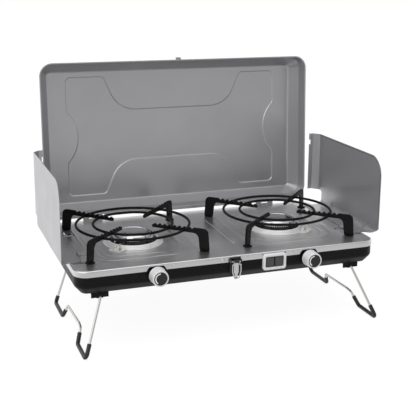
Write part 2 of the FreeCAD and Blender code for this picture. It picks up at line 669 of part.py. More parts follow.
def buildLidHinges(lidOuter):
    fixed, moving, pins = [], [], []
    half, mid = 20.0, 7.0
    r = lidHingeRadius
    for x in (-lidHingeX, lidHingeX):
        def at(dx):
            return V(x + dx, lidHingeY, lidHingeZ)
        pin = cylinder(lidPin, at(-half), at(half))
        leaf = box(x - half, x + half, hobRear, hobRear + 0.8, hobTop - 10, lidHingeZ - r - 1)
        for side in (-1, 1):
            a, b = sorted((side * (mid + 0.3), side * half))
            leaf = leaf.fuse([box(x + a, x + b, hobRear, hobRear + 0.8, hobTop - 10, lidHingeZ),
                              cylinder(r, at(a), at(b))])
        fixed.append(leaf.cut([pin] + rimScrews()))
        wall = lidOuter.cut(box(-hobWidth, hobWidth, -hobDepth, hobDepth, lidHingeZ + 15, lidPanelZ + 9))
        strap = plate([V(x - mid, lidHingeY, lidHingeZ + r), V(x - mid, lidHingeY, lidHingeZ),
                       V(x - mid, lidRear - 4, lidHingeZ), V(x - mid, lidRear - 5, lidHingeZ + 14),
                       V(x - mid, lidRear - 1.6, lidHingeZ + 14), V(x - mid, lidRear + 0.4, lidHingeZ + r)],
                      [0] * 6, V(2 * mid, 0, 0)).cut(wall)
        strap = strap.fuse(cylinder(r, at(-mid), at(mid)).cut(lidOuter))
        moving.append(strap.cut(cylinder(lidPin + 0.06, at(-mid), at(mid))))
        pins.append(pin)
    nodes["lid_hinge_base_leaves"] = group(fixed)
    nodes["lid_hinge_pins"] = group(pins)
    nodes["lid_hinge_straps"] = opened(group(moving))


# Windshields, drawn upright on the right
def buildWindshields():
    inner, outerX = shieldX, shieldX + sheet
    flangeLow, flangeHigh = hobTop + 0.5, hobTop + 0.5 + sheet
    flangeEnd = shieldHingeX + 2
    bendY = shieldRear - shieldBackFold[0]
    section = [V(x, shieldFront, z) for x, z in (
        (flangeEnd, flangeLow), (flangeEnd, flangeHigh), (inner, flangeHigh), (inner, shieldTop),
        (outerX, shieldTop), (outerX, flangeLow))]
    shield = plate(section, [0, 0, shieldFold, 0, 0, shieldFold + sheet], V(0, bendY - shieldFront, 0))
    rearLow = hobTop + shieldCutHeight
    outline = [V(flangeEnd - 1, y, z) for y, z in (
        (shieldFront, flangeLow), (shieldFront, shieldTop), (bendY, shieldTop), (bendY, rearLow),
        (shieldCutY, rearLow), (shieldCutY, flangeLow))]
    reach = V(outerX - flangeEnd + 2, 0, 0)
    shield = shield.common(plate(outline, [9, shieldCorner, 0, 0, 6, 0], reach))
    # Flange cut back slantwise at the front, to the plate's rounded corner
    frontCut = [V(x, y, flangeLow - 1) for x, y in (
        (outerX + 1, shieldFront - 1), (inner - 1.5, shieldFront + 8), (hobWidth / 2 + 5, shieldFront + 26),
        (flangeEnd - 1, shieldFront + 30), (flangeEnd - 1, shieldFront - 1))]
    shield = shield.cut(plate(frontCut, [0, 3, 8, 0, 0], V(0, 0, shieldFold)))
    backX, backInner = shieldX - shieldBackFold[1], lidWidth / 2 + 1.5
    bend = Part.makePolygon([V(x, y, rearLow) for x, y in (
        (outerX, bendY), (backX + 0.4, shieldRear + 0.2), (backInner, shieldRear + 0.2),
        (backInner, shieldRear - 0.6), (backX, shieldRear - 0.6), (inner, bendY), (outerX, bendY))])
    shield = shield.fuse(Part.Face(bend).extrude(V(0, 0, shieldTop - rearLow)))
    notchZ = hobTop + 134.5
    shield = shield.cut(box(backInner - 1, backInner + 3.5, shieldRear - 3, shieldRear + 3,
                            notchZ - 5, notchZ + 5))
    # Short ribs pressed across the fold
    arcX, arcZ, middle = inner - shieldFold, flangeHigh + shieldFold, shieldFold + sheet / 2
    darts = []
    for y in shieldDartY:
        arc = [(arcX + middle * math.cos(math.radians(a)), arcZ - middle * math.sin(math.radians(a)))
               for a in range(0, 79, 13)]
        darts.append(plate([V(x, y - 0.8, z) for x, z in [(inner + sheet / 2, arcZ + 6)] + arc],
                           [0] * (len(arc) + 1), V(0, 1.6, 0)))
    shield = shield.fuse(darts)
    clips = []
    mid, half = 4.0, 9.2
    for y in (-shieldClipY, shieldClipY):
        def at(dy, dz=0.0):
            return V(shieldHingeX, y + dy, shieldHingeZ + dz)
        shield = shield.cut(box(shieldHingeX, shieldHingeX + 4, y - mid - 0.3, y + mid + 0.3,
                                hobTop, hobTop + 3))
        for side in (-1, 1):
            a, b = sorted((side * (mid + 0.2), side * half))
            link = box(shieldHingeX, shieldHingeX + 3, y + a, y + b, flangeLow, flangeLow + sheet)
            shield = shield.fuse([link, cylinder(shieldKnuckle, at(a), at(b))])
        shield = shield.cut(cylinder(shieldPin + 0.08, at(-half - 1), at(half + 1)))
        pin = cylinder(shieldPin, at(-half - 0.8), at(half + 0.8))
        inset, ledge = shieldHingeX - 15.0, hobTop - wellSizes[0][3] - sheet
        clip = cylinder(shieldKnuckle, at(-mid), at(mid)).fuse([
            box(inset, shieldHingeX, y - mid, y + mid, hobTop, hobTop + sheet),
            box(inset, inset + sheet, y - mid, y + mid, ledge - sheet, hobTop + sheet),
            box(inset - 6, inset + sheet, y - mid, y + mid, ledge - sheet, ledge)])
        clips.append(clip.fuse(pin))
    both("windshield", shield)
    both("windshield_clips", group(clips))


# Legs: one bent wire each side, two sleeved feet, turning in brackets under the tray
def legPoint(y, drop):
    """A point of the right leg's plane, drop measured down from the pivot to the foot line."""
    share = drop / (legPivotZ - sleeveRadius)
    return V(legPivotX + share * (legFootX - legPivotX), y, legPivotZ - drop)


def buildLegs():
    full = legPivotZ - sleeveRadius
    bx, by, bz = bracketSize
    frontY, rearY = hobFront + frontBracketY, hobFront + rearBracketY
    frontTop, rearTop = frontY - by / 2 - legWire - 1.6, rearY + by / 2 + legWire + 1.6
    tipY, contactY = frontTop - 40, frontTop + 27
    rearTip, rearContact = rearTop - 86, rearTop - 14
    riseDrop = full - 24
    route = [legPoint(frontY + by / 2, 0), legPoint(frontTop, 0), legPoint(tipY, full),
             legPoint(contactY, full), legPoint(contactY + 17, riseDrop), legPoint(contactY + 32, full - 26),
             legPoint(rearTip - 9, full - 23),
             legPoint(rearTip, full), legPoint(rearContact, full), legPoint(rearTop, 0),
             legPoint(rearY - by / 2, 0)]
    bends = [0, 3.5, 7, 7, 7, 6, 6, 7, 7, 3, 0]
    wire = rod(route, bends, legWire)

    def along(a, b, z):
        drop = legPivotZ - z
        share = (z - a.z) / (b.z - a.z)
        return legPoint(a.y + share * (b.y - a.y), drop)
    sleeves = []
    for start, tip, contact, end, z0, z1 in ((1, 2, 3, 4, 27, 20), (6, 7, 8, 9, 17, 17)):
        points = [along(route[start], route[tip], z0), route[tip], route[contact],
                  along(route[contact], route[end], z1)]
        sleeves.append(rod(points, [0, 7, 7, 0], sleeveRadius).cut(wire))
    both("leg_wire", wire)
    both("leg_sleeves", group(sleeves))
    brackets = []
    for side in (-1, 1):
        for y in (frontY, rearY):
            x = side * legPivotX
            block = box(x - bx / 2, x + bx / 2, y - by / 2, y + by / 2, baseBottom - 2, baseBottom)
            saddle = box(x - 6, x + 6, y - by / 2, y + by / 2, baseBottom - bz, baseBottom)
            flare = box(x - bx / 2, x + bx / 2, y - by / 2, y - by / 2 + 1.5, baseBottom - bz + 1, baseBottom)
            bracket = block.fuse([saddle, flare])
            bore = cylinder(legWire + 0.08, V(x, y - by, legPivotZ), V(x, y + by, legPivotZ))
            brackets.append(bracket.cut(bore))
    nodes["leg_brackets"] = group(brackets)


def export():
    whole = Part.makeCompound(list(nodes.values()))
    bounds = whole.optimalBoundingBox(False, False)
    shift = V(0, -(bounds.YMin + bounds.YMax) / 2, 0)
    os.makedirs("parts", exist_ok=True)
    for name, shape in nodes.items():
        placed = shape.copy()
        placed.translate(shift)
        placed.exportStep(os.path.join("parts", name + ".step"))
        print(name, len(placed.Solids), round(placed.Volume), placed.isValid())
    print("depth shift", round(shift.y, 4))
    return shift


buildBaseTray()
buildHobPlate()
buildPanSupports()
buildBurners()
buildGasTrain()
buildKnobs()
buildIgniter()
buildLatch()
buildLid()
buildWindshields()
buildLegs()
depthShift = export().y
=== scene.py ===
import json
import math

import bmesh
import bpy
from mathutils import Matrix, Vector


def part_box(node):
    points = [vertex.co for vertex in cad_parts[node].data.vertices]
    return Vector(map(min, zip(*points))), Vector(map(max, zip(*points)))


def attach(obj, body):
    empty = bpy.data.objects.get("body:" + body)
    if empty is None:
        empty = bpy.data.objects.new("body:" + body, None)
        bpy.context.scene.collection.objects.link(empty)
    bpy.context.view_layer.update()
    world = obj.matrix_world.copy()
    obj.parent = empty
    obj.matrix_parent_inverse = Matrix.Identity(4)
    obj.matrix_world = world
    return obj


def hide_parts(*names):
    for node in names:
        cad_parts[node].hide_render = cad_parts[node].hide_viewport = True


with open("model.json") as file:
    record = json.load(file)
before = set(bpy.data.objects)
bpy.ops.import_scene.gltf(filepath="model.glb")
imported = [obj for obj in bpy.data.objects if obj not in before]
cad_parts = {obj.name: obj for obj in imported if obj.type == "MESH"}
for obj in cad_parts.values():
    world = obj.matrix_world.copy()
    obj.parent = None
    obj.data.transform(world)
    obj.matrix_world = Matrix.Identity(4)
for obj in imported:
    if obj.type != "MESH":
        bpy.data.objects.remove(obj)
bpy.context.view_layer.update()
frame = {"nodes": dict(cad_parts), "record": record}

hobLow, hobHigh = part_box("hob_plate")
depthShift = (hobLow.y + hobHigh.y) / 2 * 1000   # hob centre in the frame, mm
sides = ((-1, "left"), (1, "right"))

# Places shared by several pieces, mm from the hob's middle on the ground
layout = {
    "hobTop": 150.0, "hobWidth": 580.0, "hobDepth": 308.0, "hobCorner": 25.0, "sheet": 0.8, "sharpAngle": 45,
    "flatLoop": 0.8,   # width of the flat strip that ends a bend
    "burnerX": 148.5, "burnerY": -3.5, "knobX": 147.0, "knobZ": 132.0, "igniterX": 77.0,
    "hingeY": 157.0, "hingeZ": 156.3, "lidAngle": 92.9,
}
top = layout["hobTop"]


# Mesh helpers: everything is drawn in mm about the hob's middle, then placed in metres
def placed(bm, shift=True):
    matrix = Matrix.Scale(0.001, 4) @ Matrix.Translation((0, depthShift if shift else 0, 0))
    bmesh.ops.transform(bm, matrix=matrix, verts=bm.verts)


def meshFrom(name, bm):
    mesh = bpy.data.meshes.new(name)
    bm.to_mesh(mesh)
    bm.free()
    return mesh


def linked(name, data):
    made = bpy.data.objects.new(name, data)
    bpy.context.scene.collection.objects.link(made)
    return made


# A piece takes its finish by name
def newPiece(name, bm, finish, body=None, replaced=(), smooth=35, outward=True, place=True, bevel=None):
    if outward:
        bmesh.ops.recalc_face_normals(bm, faces=bm.faces)
    if place:
        placed(bm, place != "local")
    mesh = meshFrom(name, bm)
    piece = linked(name, mesh)
    mesh.materials.append(finishes[finish])
    mesh.shade_smooth()
    mesh.set_sharp_from_angle(angle=math.radians(smooth))
    if bevel:
        addBevel(piece, *bevel)
    if body:
        settle(piece, body, replaced)
    return piece


def settle(piece, body, replaced=()):
    if replaced:
        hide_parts(*replaced)
    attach(piece, body)


def evaluated(piece):
    depsgraph = bpy.context.evaluated_depsgraph_get()
    mesh = bpy.data.meshes.new_from_object(piece.evaluated_get(depsgraph))
    piece.modifiers.clear()
    old = piece.data
    piece.data = mesh
    bpy.data.meshes.remove(old)
    return piece


def rebuilt(piece):
    finish = piece.data.materials[0]
    evaluated(piece)
    piece.data.materials.clear()
    piece.data.materials.append(finish)
    for polygon in piece.data.polygons:
        polygon.material_index = 0
    piece.data.set_sharp_from_angle(angle=math.radians(layout["sharpAngle"]))


def inFrame(x, y, z=0.0):
    return (x * 0.001, (y + depthShift) * 0.001, z * 0.001)


def addBevel(piece, width, segments=2, angle=40):
    bevel = piece.modifiers.new("edges", "BEVEL")
    bevel.width = width * 0.001
    bevel.segments = segments
    bevel.limit_method = "ANGLE"
    bevel.angle_limit = math.radians(angle)
    bevel.harden_normals = True
    bevel.use_clamp_overlap = True
    normals = piece.modifiers.new("normals", "WEIGHTED_NORMAL")
    normals.keep_sharp = True
    normals.weight = 100


def roundedRect(width, depth, radius, z, cx=0.0, cy=0.0, steps=10):
    points = []
    hw, hd = width / 2 - radius, depth / 2 - radius
    for sx, sy, start in ((1, 1, 0), (-1, 1, 90), (-1, -1, 180), (1, -1, 270)):
        for i in range(steps + 1):
            a = math.radians(start + 90 * i / steps)
            points.append(Vector((cx + sx * hw + radius * math.cos(a), cy + sy * hd + radius * math.sin(a), z)))
    return points


def circle(radius, z, cx, cy, steps=64):
    return [Vector((cx + radius * math.cos(2 * math.pi * i / steps),
                    cy + radius * math.sin(2 * math.pi * i / steps), z)) for i in range(steps)]


def roundedLoop(points, radii, steps=6, closed=True):
    count = len(points)
    made = []
    for i, point in enumerate(points):
        if not radii[i] or (not closed and i in (0, count - 1)):
            made.append(point.copy())
            continue
        before = (point - points[i - 1]).normalized()
        after = (points[(i + 1) % count] - point).normalized()
        half = before.angle(after) / 2
        if half < 1e-4:
            made.append(point.copy())
            continue
        centre = point + (after - before).normalized() * (radii[i] / math.cos(half))
        start = point - before * radii[i] * math.tan(half) - centre
        turn = start.cross(point + after * radii[i] * math.tan(half) - centre).normalized()
        for k in range(steps + 1):
            made.append(centre + Matrix.Rotation(2 * half * k / steps, 3, turn) @ start)
    return made


def turnAboutZ(bm, angle, verts=None):
    bmesh.ops.rotate(bm, cent=(0, 0, 0), matrix=Matrix.Rotation(angle, 3, "Z"), verts=verts or bm.verts)


# Each point is two places and a corner radius; place turns the two into three
def outlineOf(points, place, steps=6, closed=True):
    corners = [corner for _, _, corner in points]
    return roundedLoop([Vector(place(u, v)) for u, v, _ in points], corners, steps, closed)


def addLoop(bm, points):
    return [bm.verts.new(p) for p in points]


def bridge(bm, low, high):
    count = len(low)
    for i in range(count):
        j = (i + 1) % count
        bm.faces.new((low[i], low[j], high[j], high[i]))


def bridgeAll(bm, rings, closed=False):
    for low, high in zip(rings, rings[1:] + rings[:1] if closed else rings[1:]):
        bridge(bm, low, high)


def loopEdges(bm, loop):
    edges = []
    for i, vert in enumerate(loop):
        other = loop[(i + 1) % len(loop)]
        edges.append(bm.edges.get((vert, other)) or bm.edges.new((vert, other)))
    return edges


def faceOut(bm, sign):
    bmesh.ops.recalc_face_normals(bm, faces=bm.faces)
    if max(bm.faces, key=lambda f: f.calc_area()).normal.z * sign < 0:
        bmesh.ops.reverse_faces(bm, faces=bm.faces)


def fillFlat(bm, loops, normal=(0, 0, 1)):
    edges = [e for loop in loops for e in loopEdges(bm, loop)]
    bmesh.ops.triangle_fill(bm, edges=edges, use_beauty=True, normal=normal)


def lathe(bm, profile, centre, axis="Z", steps=96, closed=False):
    def spot(r, h, a):
        x, y = r * math.cos(a), r * math.sin(a)
        return bm.verts.new(Vector(centre) + Vector((x, y, h) if axis == "Z" else (x, -h, y)))
    rings = [[spot(r, h, 2 * math.pi * i / steps) for i in range(steps)] if r >= 1e-6 else [spot(0, h, 0)]
             for r, h in profile]
    for a, b in zip(rings, rings[1:] + rings[:1] if closed else rings[1:]):
        if len(a) == 1 and len(b) == 1:
            continue
        for i in range(steps):
            j = (i + 1) % steps
            if len(a) == 1:
                bm.faces.new((a[0], b[j], b[i]))
            elif len(b) == 1:
                bm.faces.new((a[i], a[j], b[0]))
            else:
                bm.faces.new((a[i], a[j], b[j], b[i]))


# Profile points are radius, height and corner radius
def profileOf(points, steps=5, closed=False, lift=0.0):
    return [(max(p.x, 0.0), p.z) for p in outlineOf(points, lambda r, h: (r, 0, h + lift), steps, closed)]


def turned(name, profile, centre, finish, body, replaced=(), smooth=40, axis="Z", steps=96, closed=False):
    bm = bmesh.new()
    lathe(bm, profile, centre, axis, steps, closed)
    newPiece(name, bm, finish, body, replaced, smooth)


def addBox(bm, x0, x1, y0, y1, z0, z1):
    corners = [bm.verts.new((x, y, z)) for z in (z0, z1) for x, y in ((x0, y0), (x1, y0), (x1, y1), (x0, y1))]
    for face in ((3, 2, 1, 0), (4, 5, 6, 7), (0, 1, 5, 4), (1, 2, 6, 5), (2, 3, 7, 6), (3, 0, 4, 7)):
        bm.faces.new([corners[i] for i in face])


def addPrism(bm, points, offset):
    low = addLoop(bm, points)
    high = addLoop(bm, [p + offset for p in points])
    bm.faces.new(low[::-1])
    bm.faces.new(high)
    bridge(bm, low, high)


def sweep(bm, points, radius, steps=12, closed=False):
    count = len(points)
    rings = []
    side = None
    for i, point in enumerate(points):
        before = points[i - 1] if i or closed else point
        after = points[(i + 1) % count] if i < count - 1 or closed else point
        along = (after - before).normalized()
        if side is None:
            side = along.orthogonal().normalized()
        side = (side - along * side.dot(along)).normalized()
        up = along.cross(side)
        rings.append([bm.verts.new(point + (side * math.cos(a) + up * math.sin(a)) * radius)
                      for a in (2 * math.pi * k / steps for k in range(steps))])
    bridgeAll(bm, rings, closed)
    if not closed:
        bm.faces.new(rings[0][::-1])
        bm.faces.new(rings[-1])


def wired(name, path, radius, steps, finish, body, smooth=50):
    bm = bmesh.new()
    sweep(bm, path, radius, steps)
    newPiece(name, bm, finish, body, (), smooth)


# A round cutter through a wall that faces along Y, flat above its ceiling
def addHole(bm, x, z, radius, y, depth, steps=32, ceiling=math.inf):
    ring = [Vector((x + radius * math.cos(a), y, min(z + radius * math.sin(a), ceiling)))
            for a in (2 * math.pi * i / steps for i in range(steps))]
    addPrism(bm, ring, Vector((0, depth, 0)))


def cutWith(piece, bm):
    placed(bm)
    bmesh.ops.recalc_face_normals(bm, faces=bm.faces)
    mesh = meshFrom("cutter", bm)
    cutter = linked("cutter", mesh)
    boolean = piece.modifiers.new("cut", "BOOLEAN")
    boolean.operation = "DIFFERENCE"
    boolean.solver = "EXACT"
    boolean.object = cutter
    rebuilt(piece)
    bpy.data.objects.remove(cutter)
    bpy.data.meshes.remove(mesh)


def addSheet(piece):
    wall = piece.modifiers.new("sheet", "SOLIDIFY")
    wall.thickness = layout["sheet"] * 0.001
    wall.offset = -1
    rebuilt(piece)


# Node helper: inputs are set or linked by name or number, settings before them
def addNode(tree, kind, inputs=None, **settings):
    node = tree.nodes.new(kind)
    for key, value in settings.items():
        setattr(node, key, value)
    for key, value in (inputs or {}).items():
        if isinstance(value, bpy.types.NodeSocket):
            tree.links.new(value, node.inputs[key])
        else:
            node.inputs[key].default_value = value
    return node


# Geometry Nodes: one tree repeats a piece round an axis, the other along a row
def repeatTree(name, isRow):
    tree = bpy.data.node_groups.new(name, "GeometryNodeTree")
    for label, kind in (("Geometry", "Geometry"), ("Count", "Int"), ("Start", "Vector"), ("Step", "Vector"),
                        ("Finish", "Material")):
        tree.interface.new_socket(label, in_out="INPUT", socket_type="NodeSocket" + kind)
    tree.interface.new_socket("Geometry", in_out="OUTPUT", socket_type="NodeSocketGeometry")
    given = addNode(tree, "NodeGroupInput").outputs
    index = addNode(tree, "GeometryNodeInputIndex").outputs[0]
    step = addNode(tree, "ShaderNodeVectorMath", {0: given["Step"], "Scale": index}, operation="SCALE").outputs[0]
    spot = given["Start"]
    if isRow:
        spot = addNode(tree, "ShaderNodeVectorMath", {0: spot, 1: step}).outputs[0]
    points = addNode(tree, "GeometryNodePoints", {"Count": given["Count"], "Position": spot}).outputs[0]
    turn = {} if isRow else {"Rotation": step}
    copies = addNode(tree, "GeometryNodeInstanceOnPoints", {
        "Points": points, "Instance": given["Geometry"], **turn}).outputs[0]
    whole = addNode(tree, "GeometryNodeRealizeInstances", {0: copies}).outputs[0]
    paint = addNode(tree, "GeometryNodeSetMaterial", {"Geometry": whole, "Material": given["Finish"]})
    addNode(tree, "NodeGroupOutput", {0: paint.outputs[0]})
    return tree


ringTree = repeatTree("repeatRound", False)
rowTree = repeatTree("repeatRow", True)


def repeated(piece, tree, count, start, step):
    modifier = piece.modifiers.new("repeat", "NODES")
    modifier.node_group = tree
    values = {"Count": count, "Start": start, "Step": step, "Finish": piece.data.materials[0]}
    for item in tree.interface.items_tree:
        if item.item_type == "SOCKET" and item.in_out == "INPUT" and item.name in values:
            modifier[item.identifier] = values[item.name]
    return evaluated(piece)


# Shader groups: each gives out a colour, a roughness and a height
def shaderGroup(name, inputs):
    group = bpy.data.node_groups.new(name, "ShaderNodeTree")
    group.interface.new_socket("Vector", in_out="INPUT", socket_type="NodeSocketVector")
    for label, value in inputs.items():
        kind = "NodeSocketColor" if isinstance(value, tuple) else "NodeSocketFloat"
        group.interface.new_socket(label, in_out="INPUT", socket_type=kind).default_value = value
    for label, kind in (("Colour", "NodeSocketColor"), ("Roughness", "NodeSocketFloat"),
                        ("Height", "NodeSocketFloat")):
        group.interface.new_socket(label, in_out="OUTPUT", socket_type=kind)
    return group, group.nodes.new("NodeGroupInput"), group.nodes.new("NodeGroupOutput")


def noiseNode(tree, vector, scale, detail=2.0, rough=0.5):
    return addNode(tree, "ShaderNodeTexNoise", {
        "Vector": vector, "Scale": scale, "Detail": detail, "Roughness": rough}).outputs["Fac"]


def mathNode(tree, operation, a, b, clamp=False):
    return addNode(tree, "ShaderNodeMath", {0: a, 1: b}, operation=operation, use_clamp=clamp).outputs[0]


def rangeNode(tree, value, low, high, toLow, toHigh):
    return addNode(tree, "ShaderNodeMapRange", dict(enumerate((value, low, high, toLow, toHigh)))).outputs[0]


def mixColour(tree, factor, a, b):
    return addNode(tree, "ShaderNodeMix", {0: factor, 6: a, 7: b}, data_type="RGBA").outputs[2]


def mixed(group, a, b, share):
    return mathNode(group, "ADD", mathNode(group, "MULTIPLY", a, share), mathNode(group, "MULTIPLY", b, 1 - share))


def tonedColour(group, colour, amount, value, low, high):
    tone = rangeNode(group, value, low, high, -1.0, 1.0)
    gain = mathNode(group, "ADD", mathNode(group, "MULTIPLY", tone, amount), 1.0)
    return addNode(group, "ShaderNodeVectorMath", {0: colour, "Scale": gain}, operation="SCALE").outputs[0]


def buildEnamelGroup():
    # Sprayed enamel: faint orange peel, cloudy tone, paler worn edges
    group, entry, leave = shaderGroup("sprayedEnamel", {
        "Colour": (0.3, 0.3, 0.3, 1), "Worn": (0.5, 0.5, 0.5, 1), "Peel Scale": 900.0, "Cloud": 0.06,
        "Wear": 0.3, "Gloss Low": 0.3, "Gloss High": 0.45})
    vector = entry.outputs["Vector"]
    cloud = noiseNode(group, vector, 9.0, 3.0)
    fine = noiseNode(group, vector, 1400.0, 1.0)
    peel = noiseNode(group, vector, entry.outputs["Peel Scale"], 1.0, 0.4)
    shade = tonedColour(group, entry.outputs["Colour"], entry.outputs["Cloud"], mixed(group, cloud, fine, 0.7),
                        0.3, 0.7)
    edge = rangeNode(group, addNode(group, "ShaderNodeNewGeometry").outputs["Pointiness"], 0.52, 0.6, 0.0, 1.0)
    patchy = rangeNode(group, noiseNode(group, vector, 160.0, 3.0), 0.42, 0.62, 0.0, 1.0)
    wear = mathNode(group, "MULTIPLY", mathNode(group, "MULTIPLY", edge, patchy), entry.outputs["Wear"], True)
    group.links.new(mixColour(group, wear, shade, entry.outputs["Worn"]), leave.inputs["Colour"])
    smudge = noiseNode(group, vector, 22.0, 4.0, 0.6)
    group.links.new(rangeNode(group, smudge, 0.3, 0.7, entry.outputs["Gloss Low"], entry.outputs["Gloss High"]),
                    leave.inputs["Roughness"])
    group.links.new(peel, leave.inputs["Height"])
    return group


def buildBrushedGroup():
    # Brushed sheet: long fine streaks along the stretched direction
    group, entry, leave = shaderGroup("brushedGrain", {
        "Colour": (0.5, 0.5, 0.5, 1), "Contrast": 0.1, "Gloss Low": 0.22, "Gloss High": 0.38})
    vector = entry.outputs["Vector"]
    streaks = []
    for stretch in ((5.0, 700.0, 700.0), (14.0, 2600.0, 2600.0)):
        stretched = addNode(group, "ShaderNodeMapping", {"Vector": vector, "Scale": stretch}).outputs[0]
        streaks.append(noiseNode(group, stretched, 1.0, 2.0, 0.6))
    grain = mixed(group, streaks[0], streaks[1], 0.5)
    cloud = noiseNode(group, vector, 14.0, 3.0)
    shade = tonedColour(group, entry.outputs["Colour"], entry.outputs["Contrast"], mixed(group, grain, cloud, 0.7),
                        0.35, 0.65)
    group.links.new(shade, leave.inputs["Colour"])
    gloss = rangeNode(group, mixed(group, cloud, streaks[0], 0.6), 0.35, 0.65, entry.outputs["Gloss Low"],
                      entry.outputs["Gloss High"])
    group.links.new(gloss, leave.inputs["Roughness"])
    group.links.new(grain, leave.inputs["Height"])
    return group


enamelGroup = buildEnamelGroup()
brushedGroup = buildBrushedGroup()


def colourOf(value):
    return (*value, 1.0) if isinstance(value, tuple) else (value, value, value, 1.0)


def newFinish(slot, group, values, shaderValues, bump, reach):
    first, *others = slot.split("_")
    finish = bpy.data.materials.new(first + "".join(word.title() for word in others))
    finish.use_nodes = True
    tree = finish.node_tree
    tree.nodes.clear()
    coords = addNode(tree, "ShaderNodeTexCoord").outputs["Object"]
    effect = addNode(tree, "ShaderNodeGroup", {"Vector": coords, **values}, node_tree=group).outputs
    relief = addNode(tree, "ShaderNodeBump", {"Strength": bump, "Distance": reach, "Height": effect["Height"]})
    shader = addNode(tree, "ShaderNodeBsdfPrincipled", {
        "Base Color": effect["Colour"], "Roughness": effect["Roughness"], "Normal": relief.outputs[0],
        **shaderValues})
    addNode(tree, "ShaderNodeOutputMaterial", {"Surface": shader.outputs[0]})
    return finish


def enamel(slot, colour, worn, gloss, metallic=0.0, cloud=0.06, wear=0.3, peel=900.0, bump=0.15, sheen=0.5):
    return newFinish(slot, enamelGroup, {
        "Colour": colourOf(colour), "Worn": colourOf(worn), "Peel Scale": peel, "Cloud": cloud, "Wear": wear,
        "Gloss Low": gloss[0], "Gloss High": gloss[1]}, {"Metallic": metallic, "Specular IOR Level": sheen},
        bump, 0.0002)


def brushed(slot, colour, gloss, contrast=0.1, bump=0.25, metallic=1.0):
    return newFinish(slot, brushedGroup, {
        "Colour": colourOf(colour), "Contrast": contrast, "Gloss Low": gloss[0], "Gloss High": gloss[1]},
        {"Metallic": metallic}, bump, 0.00008)


# Enamels, rubbers and plastics: colour, worn colour, gloss, then what isn't usual
enamels = {
    "tray_black": ((0.004, 0.004, 0.0045), 0.025, (0.3, 0.42), {"wear": 0.2, "sheen": 0.16}),
    "support_black": (0.0035, 0.012, (0.38, 0.55), {"sheen": 0.16}),
    "latch_black": (0.006, 0.04, (0.25, 0.4), {}),
    "burner_dark": ((0.003, 0.003, 0.004), (0.02, 0.02, 0.024), (0.1, 0.2), {"bump": 0.06, "sheen": 0.2}),
    "grey_paint": ((0.495, 0.495, 0.51), 0.6, (0.3, 0.4),
                   {"metallic": 0.85, "cloud": 0.03, "wear": 0.2, "peel": 1200.0, "bump": 0.1}),
    "grommet_rubber": (0.005, 0.01, (0.5, 0.65), {"sheen": 0.2}),
    "vinyl_black": ((0.012, 0.012, 0.013), 0.04, (0.32, 0.45), {"peel": 600.0}),
    "dark_plastic": ((0.01, 0.01, 0.011), 0.03, (0.38, 0.5), {"peel": 2200.0}),
    "button_grey": ((0.06, 0.06, 0.063), 0.1, (0.4, 0.52), {"peel": 2200.0}),
    "knob_silver": ((0.76, 0.76, 0.77), 0.85, (0.3, 0.42),
                    {"metallic": 0.15, "cloud": 0.02, "peel": 2600.0, "bump": 0.06}),
    "bezel_silver": ((0.8, 0.8, 0.81), 0.88, (0.28, 0.38),
                     {"metallic": 0.1, "cloud": 0.02, "peel": 2600.0, "bump": 0.06}),
    "ceramic": ((0.78, 0.77, 0.73), (0.85, 0.85, 0.82), (0.12, 0.22), {"cloud": 0.03}),
    "mark_white": (0.9, 0.9, (0.35, 0.45), {"cloud": 0.01}),
}
# Bare metals: colour, gloss, contrast and relief of the grain, share that is metallic
metals = {
    "hob_steel": ((0.72, 0.72, 0.725), (0.28, 0.38), 0.1, 0.22),
    "hinge_steel": (0.5, (0.25, 0.38)),
    "bright_steel": ((0.72, 0.72, 0.73), (0.1, 0.2), 0.04, 0.06),
    "burner_bright": ((0.74, 0.74, 0.75), (0.1, 0.18), 0.04, 0.05),
    "collar_steel": (0.8, (0.3, 0.4), 0.04, 0.05, 0.45),
    "port_alloy": ((0.86, 0.85, 0.83), (0.22, 0.35), 0.06, 0.08, 0.5),
    "brass": ((0.6, 0.44, 0.19), (0.18, 0.3), 0.08, 0.1),
    "zinc_steel": ((0.5, 0.5, 0.52), (0.3, 0.45), 0.15, 0.1),
    "leg_steel": ((0.7, 0.685, 0.66), (0.3, 0.42), 0.05, 0.03),
    # catch steel also colours the dark wire drawn as painted shade along the windshields' hem
    "catch_steel": (0.2, (0.3, 0.42), 0.05, 0.05),
}
finishes = {slot: enamel(slot, *values, **unusual) for slot, (*values, unusual) in enamels.items()}
finishes.update({slot: brushed(slot, *values) for slot, values in metals.items()})
print("stage: finishes", len(finishes))

slotOf = {part["node"]: part["material_slot"] for part in frame["record"]["subparts"]}
bodyOf = {node: body for body, members in frame["record"]["behaviour"]["bodies"].items() for node in members}


# CAD pieces redrawn with merged faces, softened edges and smooth rounds
def softened(node, width=0.25, segments=2, angle=30, name=None, finish=None):
    source = frame["nodes"][node].data
    bm = bmesh.new()
    verts = [bm.verts.new(v.co) for v in source.vertices]
    for polygon in source.polygons:
        try:
            bm.faces.new([verts[i] for i in polygon.vertices])
        except ValueError:
            pass
    bmesh.ops.remove_doubles(bm, verts=bm.verts, dist=2e-6)
    bmesh.ops.dissolve_degenerate(bm, edges=bm.edges, dist=1e-6)
    if width:
        bmesh.ops.dissolve_limit(bm, angle_limit=math.radians(0.6), verts=bm.verts, edges=bm.edges)
    slot = slotOf[node]
    piece = newPiece(name or node + "_soft", bm, finish or slot, smooth=angle, outward=False, place=False)
    if width:
        addBevel(piece, width, segments, angle)
    settle(piece, bodyOf[node], (node,))
    return piece


